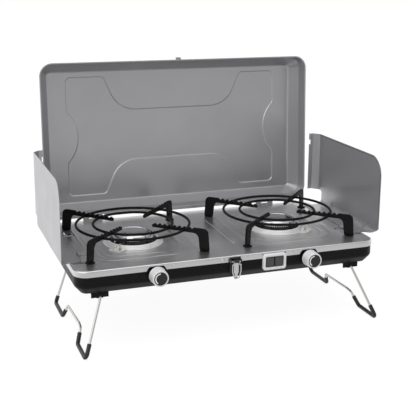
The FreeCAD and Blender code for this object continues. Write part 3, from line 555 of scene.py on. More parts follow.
# Hob plate: pressed sheet with a turned-down rim and two stepped wells under each burner
hob = {
    "rimLow": 139.0, "edgeRadius": 3.0, "edgeAngles": (22, 45, 68, 90), "burnerHole": 47.0, "wellCornerLoss": 8,
    # width, length, corner, slope across, slope along, depth of each step
    "wells": ((198.0, 250.0, 42.0, 9.5, 24.0, 2.0), (158.0, 188.0, 36.0, 9.5, 18.0, 1.5)),
    # a low bead along each crease: step inwards, rise
    "bead": ((-2.0, 0.0), (-1.3, 0.0), (-0.7, 0.45), (0.0, 0.7), (0.7, 0.45), (1.3, 0.0), (2.0, 0.0)),
    "beadFade": 5,
    # a straight bead between the wells: distance from the middle, middle and half length along Y, rise
    "midBead": (25.5, -5.0, 77.0, 0.7), "midSection": ((2.0, 0.0), (1.3, 0.0), (0.8, 0.6), (0.3, 1.0)),
    "grommetHole": 5.4, "footReach": 150.0, "knobNotch": 19.5, "notchCeiling": top - 3.2,
    # slots: half width and half length of those for the shields' clips, ends of those in front of them
    "clipSlot": (250.5, 62.0, 3.5, 5.0), "frontSlot": ((262.0, 284.0), (-107.6, -104.2)),
    "igniterNotch": (23.3, top - 12, top - 2.7),
}
footAngles = [math.radians(angle) for angle in (45, 135, 225, 315)]


def wellRings(bm, cx, cy):
    rings, level = [], top
    for width, length, corner, across, along, depth in hob["wells"]:
        for share in (0, 1):
            for step, rise in hob["bead"]:
                ring = roundedRect(width - 2 * (across * share + step), length - 2 * (along * share + step),
                                   corner - hob["wellCornerLoss"] * share - step, level - depth * share, cx, cy, 14)
                for point in ring:   # the bead dies away towards the front and back
                    point.z += rise * max(0.0, 1 - abs(2 * (point.y - cy) / length) ** hob["beadFade"])
                rings.append(addLoop(bm, ring))
        level -= depth
    bridgeAll(bm, rings)
    return rings[0], rings[-1]


def buildHobPlate():
    bm = bmesh.new()
    w, d, r, e = layout["hobWidth"], layout["hobDepth"], layout["hobCorner"], hob["edgeRadius"]
    rim = [(0.0, hob["rimLow"]), (0.0, top - e)]
    rim += [(e - e * math.cos(math.radians(a)), top - e + e * math.sin(math.radians(a))) for a in hob["edgeAngles"]]
    rim.append((e + layout["flatLoop"], top))
    rings = [addLoop(bm, roundedRect(w - 2 * i, d - 2 * i, r - i, z)) for i, z in rim]
    bridgeAll(bm, rings)
    flat = [rings[-1]]
    for side, _ in sides:
        cx, cy = side * layout["burnerX"], layout["burnerY"]
        outer, inner = wellRings(bm, cx, cy)
        flat.append(outer)
        hole = addLoop(bm, circle(hob["burnerHole"], inner[0].co.z, cx, cy))
        fillFlat(bm, [inner, hole])
        for a in footAngles:
            flat.append(addLoop(bm, circle(hob["grommetHole"], top, cx + hob["footReach"] * math.cos(a),
                                           cy + hob["footReach"] * math.sin(a), 24)))
        x, y, half, rise = hob["midBead"]
        bead = [addLoop(bm, roundedRect(2 * wide, 2 * (half + wide), wide * 0.99, top + rise * share, side * x, y, 6))
                for wide, share in hob["midSection"]]
        bridgeAll(bm, bead)
        fillFlat(bm, [bead[-1]])
        flat.append(bead[0])
    fillFlat(bm, flat)
    faceOut(bm, 1)
    piece = newPiece("hobPlate", bm, "hob_steel", outward=False, smooth=50)
    addSheet(piece)
    cutHob(piece, -d / 2)
    settle(piece, "root", ("hob_plate",))


def cutHob(piece, front):
    bm = bmesh.new()
    slotX, slotY, across, along = hob["clipSlot"]
    ends, (near, far) = hob["frontSlot"]
    for side, _ in sides:
        addHole(bm, side * layout["knobX"], layout["knobZ"], hob["knobNotch"], front - 1, 3.0, 64,
                hob["notchCeiling"])
        for y in (-slotY, slotY):
            x = side * slotX
            addBox(bm, x - across, x + across, y - along, y + along, top - 6, top + 2)
        x0, x1 = sorted(side * end for end in ends)
        addBox(bm, x0, x1, near, far, top - 4, top + 2)
    wide, low, high = hob["igniterNotch"]
    addBox(bm, layout["igniterX"] - wide, layout["igniterX"] + wide, front - 1, front + 2, low, high)
    cutWith(piece, bm)


buildHobPlate()
print("stage: hob plate")


# Base tray: straight wall, rolled fold to a chamfer, flat vented bottom
tray = {"width": 577.8, "depth": 305.8, "corner": 23.9, "high": 146.6, "fold": 120.0, "low": 105.0, "chamfer": 13.0,
        "chamferRun": 12, "ventPitch": 18.0, "ventSize": (6.0, 52.0, 2.8), "vents": 5, "valveHole": 9.0,
        "inletHole": (232.0, 129.0, 8.6), "igniterHole": (19.0, 130.5, 12.3)}


def buildBaseTray():
    bm = bmesh.new()
    profile = profileOf(((0, tray["high"], 0), (0, tray["fold"], 9), (tray["chamfer"], tray["low"], 6),
                         (tray["chamfer"] + tray["chamferRun"], tray["low"], 0)), 6)
    profile[-1] = (profile[-2][0] + layout["flatLoop"], tray["low"])
    rings = [addLoop(bm, roundedRect(tray["width"] - 2 * i, tray["depth"] - 2 * i, max(tray["corner"] - i, 8), z))
             for i, z in profile]
    bridgeAll(bm, rings)
    flat = [rings[-1]]
    for side, _ in sides:
        for i in range(tray["vents"]):
            x = side * layout["burnerX"] + (i - tray["vents"] // 2) * tray["ventPitch"]
            flat.append(addLoop(bm, roundedRect(*tray["ventSize"], tray["low"], x, layout["burnerY"], 4)))
    fillFlat(bm, flat, (0, 0, -1))
    faceOut(bm, -1)
    piece = newPiece("baseTray", bm, "tray_black", outward=False, smooth=50)
    addSheet(piece)
    bm = bmesh.new()
    front = -tray["depth"] / 2
    for side, _ in sides:
        addHole(bm, side * layout["knobX"], layout["knobZ"], tray["valveHole"], front - 2, 6)
    addHole(bm, *tray["inletHole"], -front - 3, 6)
    wide, z, tall = tray["igniterHole"]
    addBox(bm, layout["igniterX"] - wide, layout["igniterX"] + wide, front - 2, front + 4, z - tall, z + tall)
    cutWith(piece, bm)
    settle(piece, "root", ("base_tray",))


buildBaseTray()
print("stage: base tray")


# Lid: drawn shut, then turned open about its hinge
lid = {"width": 572.0, "front": -155.2, "rear": 153.8, "rim": 151.8, "shoulder": (4.0, 23.0),
       "insets": (20.6, 21.5, 17.9), "panelRun": 14, "depth": 47.0, "corner": 26.0, "cornerLoss": 15.0,
       # hem: radius, inset from the rim, height of its middle
       "hem": (1.3, 1.45, 1.2), "emboss": 1.8,
       # pressed field: half width and height, its corners' radii; scallop: mouth, radius, middle; lobe;
       # waist: place and radius
       "field": (227.5, 122.0), "fieldCorners": (12, 10), "scallop": (53.0, 73.7, 278.7), "lobe": 149.3,
       "waist": (119.0, 52.4, 56.0), "scallopSteps": (3, 10, 17, 24, 31, 38), "slantShare": 0.655,
       # section of the pressed step: distance across it, share of its height
       "press": ((-2.2, 0.0), (-1.4, 0.0), (-1.0, 0.05), (-0.5, 0.2), (0.0, 0.5), (0.5, 0.8), (1.0, 0.95),
                 (1.4, 1.0), (2.2, 1.0)),
       # lip turned out along the rear edge, left open at the two hinges
       "lip": ((-262.0, -214.0), (-166.0, 166.0), (214.0, 262.0)), "lipReach": (-0.4, 4.1),
       "lipHeight": (0.1, 0.9)}


def lidOutline(inset, z):
    firstInset = lid["shoulder"][0]
    over = max(inset - firstInset, 0.0) / (lid["insets"][0] - firstInset)
    held = min(inset, firstInset)
    front, rear = (held + over * (value - firstInset) for value in lid["insets"][1:])
    depth = lid["rear"] - lid["front"]
    radius = lid["corner"] - held - lid["cornerLoss"] * over
    return roundedRect(lid["width"] - 2 * inset, depth - front - rear, radius, z, 0,
                       (lid["rear"] + lid["front"]) / 2 + (front - rear) / 2, 12)


def embossOutline(z, offset):
    side, tall = (value - offset for value in lid["field"])
    mouth, bay, bayCentre = lid["scallop"]
    waistX, waistY, waistRadius = lid["waist"]
    slant = lid["slantShare"] * offset
    quarter = [(bayCentre - (bay + offset) * math.cos(math.radians(a)), (bay + offset) * math.sin(math.radians(a)), 0)
               for a in lid["scallopSteps"]]
    blunt, corner = (radius - offset for radius in lid["fieldCorners"])
    quarter += [(side, mouth, blunt), (side, tall, corner), (lid["lobe"] + slant, tall, corner),
                (waistX + slant, waistY - offset, waistRadius + offset)]
    cy = (lid["rear"] + lid["front"]) / 2
    points = [(sx * x, cy + sy * y, corner) for sx, sy in ((1, 1), (-1, 1), (-1, -1), (1, -1))
              for x, y, corner in (quarter if sx * sy > 0 else quarter[::-1])]
    return outlineOf(points, lambda x, y: (x, y, z), 14)


def turnedOpen(bm):
    pivot = Vector((0, layout["hingeY"], layout["hingeZ"]))
    turn = Matrix.Rotation(math.radians(-layout["lidAngle"]), 3, "X")
    bmesh.ops.rotate(bm, cent=pivot, matrix=turn, verts=bm.verts)


def buildLid():
    bm = bmesh.new()
    panel = lid["rim"] + lid["depth"]
    profile = profileOf(((0, lid["rim"], 0), (lid["shoulder"][0], lid["rim"] + lid["shoulder"][1], 10),
                         (lid["insets"][0], panel, 6), (lid["insets"][0] + lid["panelRun"], panel, 0)), 7)
    profile[-1] = (profile[-2][0] + layout["flatLoop"], panel)
    rings = [addLoop(bm, lidOutline(i, z)) for i, z in profile]
    bridgeAll(bm, rings)
    press = [addLoop(bm, embossOutline(panel + lid["emboss"] * rise, offset)) for offset, rise in lid["press"]]
    bridgeAll(bm, press)
    fillFlat(bm, [rings[-1], press[0]])
    fillFlat(bm, [press[-1]])
    faceOut(bm, 1)
    turnedOpen(bm)
    piece = newPiece("lidShell", bm, "grey_paint", outward=False, smooth=50)
    addSheet(piece)
    settle(piece, "lid", ("lid_shell",))
    bm = bmesh.new()
    radius, inset, rise = lid["hem"]
    sweep(bm, lidOutline(inset, lid["rim"] + rise), radius, 10, True)
    turnedOpen(bm)
    newPiece("lidHem", bm, "grey_paint", "lid", smooth=60)
    bm = bmesh.new()
    near, far = (lid["rear"] + reach for reach in lid["lipReach"])
    low, high = (lid["rim"] + height for height in lid["lipHeight"])
    for x0, x1 in lid["lip"]:
        addBox(bm, x0, x1, near, far, low, high)
    turnedOpen(bm)
    newPiece("lidRearLip", bm, "grey_paint", "lid", smooth=30)


buildLid()
print("stage: lid")


# Pan supports: four serrated arms round each burner and two wire rings
support = {"sheet": 3.9, "splay": 3.0, "tooth": 3.1, "inner": 42.0, "teeth": 8, "teethReach": 128.0, "lastGap": 4,
           # each crest is lower than the one before; a tooth's crest and valley along its pitch
           "crestDrop": 0.25, "toothShares": (0.3, 0.5, 0.8), "tipDrop": 5,
           "low": 181.5, "high": 191.5, "seat": 151.6, "reach": 150.0, "footWidth": 19.0, "tabWidth": 8.0,
           "tabLow": 146.0, "rings": (106.6, 74.5), "wire": 2.5, "ringHeight": 183.0,
           "weld": 3.3, "weldStretch": (1.25, 1.0, 0.75)}


def armOutline():
    r0, r1 = (support["reach"] + side * support["footWidth"] / 2 for side in (-1, 1))
    t0, t1 = (support["reach"] + side * support["tabWidth"] / 2 for side in (-1, 1))
    low, high, seat = support["low"], support["high"], support["seat"]
    points = [(t0, support["tabLow"], 0.8), (t1, support["tabLow"], 0.8), (t1, seat, 0), (r1, seat, 0.6),
              (r1 - support["splay"], high, 9)]
    pitch = (support["teethReach"] - support["inner"] - support["lastGap"]) / support["teeth"]
    falls, ends, rises = (share * pitch for share in support["toothShares"])
    for i in range(support["teeth"]):
        r, crest = support["teethReach"] - i * pitch, high - support["crestDrop"] * i
        valley = crest - support["tooth"]
        points += [(r, crest, 2.2), (r - falls, valley, 1.6), (r - ends, valley, 1.6), (r - rises, crest, 2.2)]
    points += [(support["inner"], high - support["tipDrop"], 1.5), (support["inner"], low, 1.5),
               (r0 - support["splay"], low, 10), (r0, seat, 0.6), (t0, seat, 0)]
    return outlineOf(points, lambda r, z: (r, 0, z), 4)


def buildPanSupports():
    for side, name in sides:
        cx, cy = side * layout["burnerX"], layout["burnerY"]
        bm = bmesh.new()
        across = Vector((0, support["sheet"], 0))
        addPrism(bm, [p - across / 2 for p in armOutline()], across)
        turnAboutZ(bm, footAngles[0])
        arms = newPiece("panArms_" + name, bm, "support_black", place="local", bevel=(0.5, 2, 60))
        evaluated(arms)
        repeated(arms, ringTree, len(footAngles), inFrame(cx, cy), (0, 0, math.pi / 2))
        settle(arms, "pan_support_" + name, ("pan_arms_" + name,))
        bm = bmesh.new()
        for radius in support["rings"]:
            sweep(bm, circle(radius, support["ringHeight"], cx, cy, 128), support["wire"], 14, True)
            for a in footAngles:
                spot = Vector((cx + radius * math.cos(a), cy + radius * math.sin(a), support["ringHeight"] - 0.4))
                bead = bmesh.ops.create_icosphere(bm, subdivisions=2, radius=support["weld"])["verts"]
                bmesh.ops.scale(bm, vec=support["weldStretch"], verts=bead)
                turnAboutZ(bm, a + math.pi / 2, bead)
                bmesh.ops.translate(bm, vec=spot, verts=bead)
        newPiece("panRings_" + name, bm, "support_black", "pan_support_" + name, ("pan_rings_" + name,), smooth=70)


buildPanSupports()
print("stage: pan supports")


# Burners: bright collar with a tab, dark bowl, slotted crown whose core is painted dark as shade between its teeth,
# and dished cap;
# profile heights of the collar, the tab screw and the thermocouple are above the burner's floor
burner = {
    "floor": 146.5, "crownRadius": 38.4, "crownInner": 35.4, "crownLow": 157.2, "crownTop": 161.0,
    "crownBore": 33, "crownTeeth": 54, "toothShare": 1.2, "tabAngle": {-1: 225, 1: 315}, "tabReach": 58.0,
    "collar": ((45.4, 1, 0.2), (47, 0, 0.2), (56.5, 0, 0.2), (56.5, 0.9, 0.4), (53.8, 1.3, 1.4),
               (49.0, 6.6, 1.4), (47.2, 7.3, 0.7), (45.6, 6.8, 0.3)),
    "tab": ((49, -17, 0), (71, -13, 9), (71, 13, 9), (49, 17, 0)), "tabSheet": 1.5, "tabGap": 0.1,
    "tabScrewX": 66.0,
    "tabScrew": ((0, 1.5, 0), (2.6, 1.5, 0), (2.4, 2.8, 0.6), (0, 3.2, 0)),
    "bowl": ((0, 120, 0), (18, 120, 3), (27, 126, 4), (39, 142, 4), (44.6, 147, 3), (44.6, 151.6, 2.5),
             (39, 157.4, 0.8), (35, 157.4, 0.4), (35, 152, 2), (38, 146, 2), (37.5, 143.5, 2),
             (25.5, 127.5, 3), (17, 121.5, 2), (0, 121.5, 0)),
    # neck towards the valve: where it starts and ends, height, radius
    "neck": (24, 48, 132, 9.6),
    "cap": ((0, 161, 0), (37.8, 161, 0.3), (38.2, 162.2, 0.8), (36.2, 165.6, 2.5), (31, 167.6, 3),
            (28.8, 167.2, 0.5), (28.0, 166.1, 0.4), (27.0, 166.7, 0.8), (14, 165.4, 8), (0, 164.6, 0)),
    "probeTurn": 6, "ceramicRadius": 2.8, "ceramicWaist": 2.2, "tipWire": 0.9,
    "thermocouple": ((0, -12, 0), (3, -12, 0), (3, -6, 0.4), (1.6, -5, 0), (1.6, 1.3, 0), (2.7, 1.3, 0.3),
                     (2.7, 4.0, 0.3), (1.4, 4.4, 0), (0, 4.4, 0)),
}


def tabSpot(side, turn):
    a = math.radians(burner["tabAngle"][side] + turn)
    return Vector((side * layout["burnerX"] + burner["tabReach"] * math.cos(a),
                   layout["burnerY"] + burner["tabReach"] * math.sin(a), 0))


def buildCollar(side, name, centre):
    floor = burner["floor"]
    bm = bmesh.new()
    lathe(bm, profileOf(burner["collar"], 4, True, floor), centre, closed=True)
    tab = bmesh.new()
    loop = outlineOf(burner["tab"], lambda x, y: (x, y, floor + burner["tabGap"]))
    addPrism(tab, loop, Vector((0, 0, burner["tabSheet"])))
    lathe(tab, profileOf(burner["tabScrew"], 3, lift=floor), (burner["tabScrewX"], 0, 0), steps=20)
    turnAboutZ(tab, math.radians(burner["tabAngle"][side]))
    bmesh.ops.translate(tab, vec=centre, verts=tab.verts)
    mesh = meshFrom("tab", tab)
    bm.from_mesh(mesh)
    bpy.data.meshes.remove(mesh)
    newPiece("burnerCollar_" + name, bm, "collar_steel", "root", ("burner_collar_" + name,),
             bevel=(0.25, 2, 50))


def buildCrown(name, centre):
    inner, outer, low, high = (burner[k] for k in ("crownInner", "crownRadius", "crownLow", "crownTop"))
    bore = burner["crownBore"]
    crown = profileOf(((bore, low, 0), (outer, low, 0.2), (outer, low + 0.7, 0.2), (inner + 0.6, low + 0.9, 0.3),
                       (inner + 0.6, high - 0.2, 0), (bore, high - 0.2, 0)), 3, True)
    # the crown's core takes the dark bowl finish as painted shade: it darkens the gaps between the bright alloy teeth
    turned("burnerCrownShadedCore_" + name, crown, centre, "burner_dark", "root", ("burner_port_ring_" + name,), 35,
           steps=80, closed=True)
    count = burner["crownTeeth"]
    wide = math.pi * outer / count * burner["toothShare"]
    bm = bmesh.new()
    addBox(bm, inner, outer, -wide / 2, wide / 2, low + 0.4, high)
    teeth = newPiece("crownTeeth_" + name, bm, "port_alloy", place="local", bevel=(0.35, 2, 50))
    evaluated(teeth)
    repeated(teeth, ringTree, count, inFrame(*centre), (0, 0, 2 * math.pi / count))
    settle(teeth, "root", ())


def buildProbes(side, name, centre):
    floor = burner["floor"]
    spot = tabSpot(side, -burner["probeTurn"])
    wide, waist = burner["ceramicRadius"], burner["ceramicWaist"]
    ceramic = [(0, floor - 8), (wide, floor - 8)]
    for z in (floor + 1.8, floor + 3.6):
        ceramic += [(wide, z), (waist, z + 0.5), (waist, z + 0.9), (wide, z + 1.3)]
    ceramic += [(wide, top + 3.2), (wide - 1, top + 4), (0, top + 4)]
    turned("electrode_" + name, ceramic, spot, "ceramic", "root", ("igniter_electrode_" + name,), 50, steps=28)
    inward = (Vector(centre) - spot).normalized()
    tip = roundedLoop([spot + Vector((0, 0, top + 3)), spot + Vector((0, 0, top + 12)),
                       spot + inward * 9 + Vector((0, 0, top + 11))], (0, 2, 0), 5, False)
    wired("electrodeTip_" + name, tip, burner["tipWire"], 10, "bright_steel", "root")
    spot = tabSpot(side, burner["probeTurn"])
    turned("thermocouple_" + name, profileOf(burner["thermocouple"], 3, lift=floor), spot, "brass", "root",
           ("thermocouple_" + name,), steps=24)
    tip = profileOf(((0, floor + 4, 0), (1.4, floor + 4, 0), (1.4, top + 9.2, 0.5), (0, top + 10, 0)), 3)
    turned("thermocoupleTip_" + name, tip, spot, "bright_steel", "root", steps=20)


def buildBurner(side, name):
    cx, cy = side * layout["burnerX"], layout["burnerY"]
    centre = (cx, cy, 0)
    buildCollar(side, name, centre)
    bm = bmesh.new()
    lathe(bm, profileOf(burner["bowl"]), centre)
    start, end, z, radius = burner["neck"]
    sweep(bm, [Vector((cx, cy - start, z)), Vector((cx, cy - end, z))], radius, 32)
    newPiece("burnerBowl_" + name, bm, "burner_dark", "root", ("burner_body_" + name,), smooth=40)
    buildCrown(name, centre)
    turned("burnerCap_" + name, profileOf(burner["cap"]), centre, "burner_bright", "root",
           ("burner_cap_" + name,), 50, steps=128)
    buildProbes(side, name, centre)


for side, name in sides:
    buildBurner(side, name)
print("stage: burners")


# Knobs: tapered silver body, dark disc in the face, painted arc as the flame mark
knob = {"back": -159.0, "length": 21.0, "backRadius": 15.8, "faceRadius": 14.5, "discRadius": 12.0,
        "recess": 1.4, "cavity": 15.0, "hub": 7.0, "hubStart": 0.5, "bore": (4.1, 17.0),
        # painted arc: how far it starts behind the face, thickness, steps
        "markRadii": (8.3, 10.3), "markAngles": (92.0, 236.0), "mark": (0.32, 0.14, 32)}


def buildKnob(side, name):
    centre = (side * layout["knobX"], knob["back"], layout["knobZ"])
    long, back, face, disc = (knob[k] for k in ("length", "backRadius", "faceRadius", "discRadius"))
    seat, cavity, hub, start = (knob[k] for k in ("recess", "cavity", "hub", "hubStart"))
    bore, boreEnd = knob["bore"]
    body = profileOf(((0, long - seat, 0), (disc, long - seat, 0), (disc, long, 0.3), (face, long, 1.5),
                      (back - 0.5, 3.2, 0.4), (back - 0.9, 2.6, 0.2), (back - 0.4, 2.0, 0.3), (back, 0, 0.6),
                      (disc, 0, 0.3), (disc, cavity, 0.5), (hub, cavity, 0.5), (hub, start, 0.3),
                      (bore, start, 0), (bore, boreEnd, 0), (0, boreEnd, 0)), 4)
    rider = "knob_" + name
    turned("knobBody_" + name, body, centre, "knob_silver", rider, ("knob_body_" + name,), 45, "Y")
    plate = profileOf(((0, long - seat, 0), (disc - 0.15, long - seat, 0.1), (disc - 0.15, long - 0.3, 0.5),
                       (0, long - 0.3, 0)), 4)
    turned("knobDisc_" + name, plate, centre, "dark_plastic", rider, ("knob_disc_" + name,), 45, "Y", 72)
    bm = bmesh.new()
    inner, outer = knob["markRadii"]
    start, end = (math.radians(a) for a in knob["markAngles"])
    sink, paint, steps = knob["mark"]
    arc = [Vector((centre[0] + radius * math.cos(a), centre[1] - long + sink, centre[2] + radius * math.sin(a)))
           for radius, first, last in ((inner, start, end), (outer, end, start))
           for a in (first + (last - first) * i / steps for i in range(steps + 1))]
    addPrism(bm, arc, Vector((0, -paint, 0)))
    newPiece("knobMark_" + name, bm, "mark_white", rider, (), 45)


for side, name in sides:
    buildKnob(side, name)
print("stage: knobs")


# Screws along the hob's rim: domed heads with a cross recess, in rows
screw = {"head": 3.2, "rise": 1.35, "shank": 1.5, "length": 5, "recess": 0.9, "cross": (1.9, 0.32), "height": 144.5,
         # rows: where the first stands, pitch, count
         "frontRows": ((-113.0, 90.5, 2), (22.5, 90.5, 2)), "rearRow": (-240.0, 160.0, 4)}


def screwRow(name, x, pitch, count, facing):
    bm = bmesh.new()
    head, rise = screw["head"], screw["rise"]
    shank, long = screw["shank"], screw["length"]
    profile = profileOf(((0, rise, 0), (head * 0.55, rise * 0.95, 3), (head, 0.25, 0.4), (head, 0, 0), (shank, 0, 0),
                         (shank, -long, 0), (0, -long, 0)), 3)
    lathe(bm, [(radius, -facing * height) for radius, height in profile], (0, 0, 0), "Y", 24)
    piece = newPiece(name, bm, "bright_steel", place="local", smooth=40)
    bm = bmesh.new()
    near, far = sorted((facing * (rise - screw["recess"]), facing * (rise + 1)))
    for wide, tall in (screw["cross"], screw["cross"][::-1]):
        addBox(bm, -wide, wide, near, far, -tall, tall)
    bmesh.ops.translate(bm, vec=(0, -depthShift, 0), verts=bm.verts)
    cutWith(piece, bm)
    start = inFrame(x, facing * layout["hobDepth"] / 2, screw["height"])
    return repeated(piece, rowTree, count, start, (pitch * 0.001, 0, 0))


rows = [screwRow(f"rimScrews_{i}", *row, -1) for i, row in enumerate(screw["frontRows"])]
rows.append(screwRow("rimScrews_rear", *screw["rearRow"], 1))
for row in rows:
    settle(row, "root", ("hob_screws",))
print("stage: screws")


# Gas inlet: brass block with a collar and a threaded stub
inlet = {"x": 232.0, "z": 129.0, "wall": 152.1, "collar": 8.2, "collarEnd": 155.9, "thread": 6.58, "root": 5.9,
         "length": 12.0, "pitch": 1.34, "bore": 3.0, "blockHalf": 9, "blockDepth": 18, "blockLow": 121}


def buildInlet():
    bm = bmesh.new()
    half, wall = inlet["blockHalf"], inlet["wall"]
    addBox(bm, inlet["x"] - half, inlet["x"] + half, wall - inlet["blockDepth"], wall, inlet["blockLow"],
           inlet["z"] + half)
    start, end = inlet["collarEnd"] - inlet["wall"], inlet["collarEnd"] - inlet["wall"] + inlet["length"]
    profile = [(inlet["bore"], 0.1), (inlet["collar"], 0.1), (inlet["collar"], start - 0.4),
               (inlet["collar"] - 0.4, start), (inlet["root"], start)]
    y = start + 1.2
    while y + inlet["pitch"] < end:
        profile += [(inlet["root"], y), (inlet["thread"], y + inlet["pitch"] * 0.45),
                    (inlet["thread"], y + inlet["pitch"] * 0.55)]
        y += inlet["pitch"]
    profile += [(inlet["root"], y), (inlet["root"], end), (inlet["bore"], end)]
    lathe(bm, [(r, -h) for r, h in profile], (inlet["x"], inlet["wall"], inlet["z"]), "Y", 48, True)
    newPiece("gasInlet", bm, "brass", "root", ("gas_inlet",), smooth=25)


buildInlet()
print("stage: gas inlet")


# Latch lever: chromed blade with a finger tab, and a black roll round its pin
latch = {"pinY": -160.0, "pinZ": 141.0, "roll": 2.8, "rollHalf": 6.2, "bladeHalf": 4.7, "shoulder": 121.0,
         "taper": 3.5, "tabHalf": 3.0, "low": 107.8, "bladeFront": 1.0, "sheet": 1.2, "ear": (5.0, 6.2, 6.0),
         # the bracket is narrowed to this share and its plate is cut off below this height
         "bracketShare": 0.965, "plateLow": 112.0}


def buildLatchLever():
    y, z, tab = latch["pinY"], latch["pinZ"], latch["tabHalf"]
    bm = bmesh.new()
    spots = ((-latch["bladeHalf"], z + 1, 0.4), (-latch["bladeHalf"], latch["shoulder"], 2.0),
             (-tab, latch["shoulder"] - latch["taper"], 2.0), (-tab, latch["low"], 1.2))
    spots += tuple((-x, h, radius) for x, h, radius in spots[::-1])
    addPrism(bm, outlineOf(spots, lambda x, h: (x, y - latch["bladeFront"], h), 5), Vector((0, latch["sheet"], 0)))
    near, far, reach = latch["ear"]
    for side in (-1, 1):
        x0, x1 = sorted((side * near, side * far))
        addBox(bm, x0, x1, y - 4, y + 1.5, z - reach, z + 1.5)
    newPiece("latchLever", bm, "bright_steel", "latch_lever", ("latch_lever",), bevel=(0.3, 2, 50))
    pin = [Vector((side * latch["rollHalf"], y, z)) for side in (-1, 1)]
    wired("latchRoll", pin, latch["roll"], 32, "latch_black", "latch_lever")
    for node in ("latch_bracket", "latch_pin"):
        piece = softened(node, 0.25, 2, 40)
        piece.data.transform(Matrix.Diagonal((latch["bracketShare"], 1, 1, 1)))
        if node == "latch_bracket":
            bm = bmesh.new()
            addBox(bm, -20, 20, y - 10, y + 20, 90, latch["plateLow"])
            cutWith(piece, bm)


buildLatchLever()
print("stage: latch")


# Igniter: silver bezel, a black liner with a bar across as painted shade in the opening, two grey buttons
igniter = {"x": layout["igniterX"], "z": 131.7, "front": -158.5, "back": -152.9, "bezel": (46.0, 30.5, 5.0),
           "opening": (36.0, 20.0, 2.6), "liner": (33.8, 17.8, 1.8), "linerFront": -155.6, "bar": 0.6,
           "button": (1.2, 16.7, 8.7), "buttonY": (-157.5, -154.4)}


def faceLoop(bm, size, grow, y):
    width, tall, radius = size
    return addLoop(bm, [Vector((p.x, y, p.y)) for p in roundedRect(
        width + 2 * grow, tall + 2 * grow, radius + grow, 0, igniter["x"], igniter["z"], 6)])


def buildIgniter():
    front, back = igniter["front"], igniter["back"]
    bm = bmesh.new()
    rings = [faceLoop(bm, igniter["bezel"], grow, y) for grow, y in (
        (0, back), (0, front + 1.8), (-0.25, front + 0.8), (-0.8, front + 0.25), (-1.6, front))]
    rings += [faceLoop(bm, igniter["opening"], grow, y) for grow, y in (
        (1.0, front), (0.3, front + 0.3), (0, front + 1.0), (0, back))]
    bridgeAll(bm, rings, True)
    newPiece("igniterBezel", bm, "bezel_silver", "root", ("igniter_frame",), smooth=50)
    # the black liner and bar are painted shade: a dark border under the bezel's edges and a dark gap between the
    # buttons
    bm = bmesh.new()
    near = igniter["linerFront"]
    rings = [faceLoop(bm, igniter[key], grow, y) for key, grow, y in (
        ("opening", -0.02, back), ("opening", -0.02, near), ("liner", 0, near), ("liner", 0, back))]
    bridgeAll(bm, rings, True)
    tall = igniter["liner"][1] / 2 + 0.3
    addBox(bm, igniter["x"] - igniter["bar"], igniter["x"] + igniter["bar"], near, back,
           igniter["z"] - tall, igniter["z"] + tall)
    newPiece("igniterShadeLiner", bm, "support_black", "root", (), 50)
    near, far, tall = igniter["button"]
    face, rear = igniter["buttonY"]
    for side, name in sides:
        spots = ((near, -tall, 0.6), (far, -tall, 1.6), (far, tall, 1.6), (near, tall, 0.6))
        bm = bmesh.new()
        addPrism(bm, outlineOf(spots, lambda x, z: (igniter["x"] + side * x, rear, igniter["z"] + z), 4),
                 Vector((0, face - rear, 0)))
        newPiece("igniterButton_" + name, bm, "button_grey", "button_" + name, ("igniter_button_" + name,),
                 bevel=(0.5, 3, 50))


buildIgniter()
print("stage: igniter")


# Windshields: a thin dark wire along the front and top edges, painted shade for the shadow in the fold of the hem
hemFoldShade = {"front": -125.8, "top": 299.8, "corner": 34.8, "low": 172.0, "rear": 129.0, "line": 0.7, "gap": 0.02}


def buildHemFoldShades():
    front, rear, low, high = (hemFoldShade[k] for k in ("front", "rear", "low", "top"))
    spots = ((front, low, 0), (front, high, hemFoldShade["corner"]), (rear, high, 0))
    for side, name in sides:
        reach = max(abs(corner.x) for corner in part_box("windshield_" + name)) * 1000
        x = side * (reach - hemFoldShade["line"] - hemFoldShade["gap"])
        # the dark catch-steel wire is painted shade: it draws the shadow line along the hem's fold
        wired("windshieldFoldShade_" + name, outlineOf(spots, lambda y, z: (x, y, z), 14, False), hemFoldShade["line"], 8,
              "catch_steel", "windshield_" + name, 60)


buildHemFoldShades()
print("stage: windshield hems")

# Sheet, wire and plastic pieces that keep their drawn shape, with softened edges
for side, name in sides:
    softened("windshield_" + name, 0.22, 2, 40, "windshieldPanel_" + name)
    softened("windshield_clips_" + name, 0.2, 2, 40)
    softened("leg_wire_" + name, 0, 0, 50)
    softened("leg_sleeves_" + name, 0, 0, 50)
for node, width in (("pan_grommets", 0.3), ("latch_rivets", 0.25), ("latch_bail", 0),
                    ("lid_studs", 0.3), ("lid_hinge_straps", 0.25), ("lid_hinge_base_leaves", 0.25),
                    ("lid_hinge_pins", 0.2), ("leg_brackets", 0.6)):
    softened(node, width, 2, 40)
softened("lid_catch", 0.3, 2, 40, finish="catch_steel")
print("stage: softened pieces")

for node, piece in frame["nodes"].items():
    piece.data.materials.clear()
    piece.data.materials.append(finishes[slotOf[node]])

# Floor, lamps, world and camera
stageSizes = {"floor": 30.0, "floorLevel": -0.0002, "floorSeen": 0.12, "floorLight": 0.75, "glow": 0.93,
              # towards the front, what polished pieces mirror fades to this share, between these places
              "frontGlow": 0.58, "shade": (-0.45, 0.4), "skyShade": (-0.7, 0.3), "skyLevel": 0.6,
              # and overhead: height of the sky where the fade starts and ends, share left
              "topFade": (0.4, 0.85, 0.3)}


def splitNode(tree, place):
    return addNode(tree, "ShaderNodeSeparateXYZ", {0: place}).outputs


def frontFade(tree, place, low, high):
    return rangeNode(tree, splitNode(tree, place)["Y"], low, high, stageSizes["frontGlow"], 1.0)


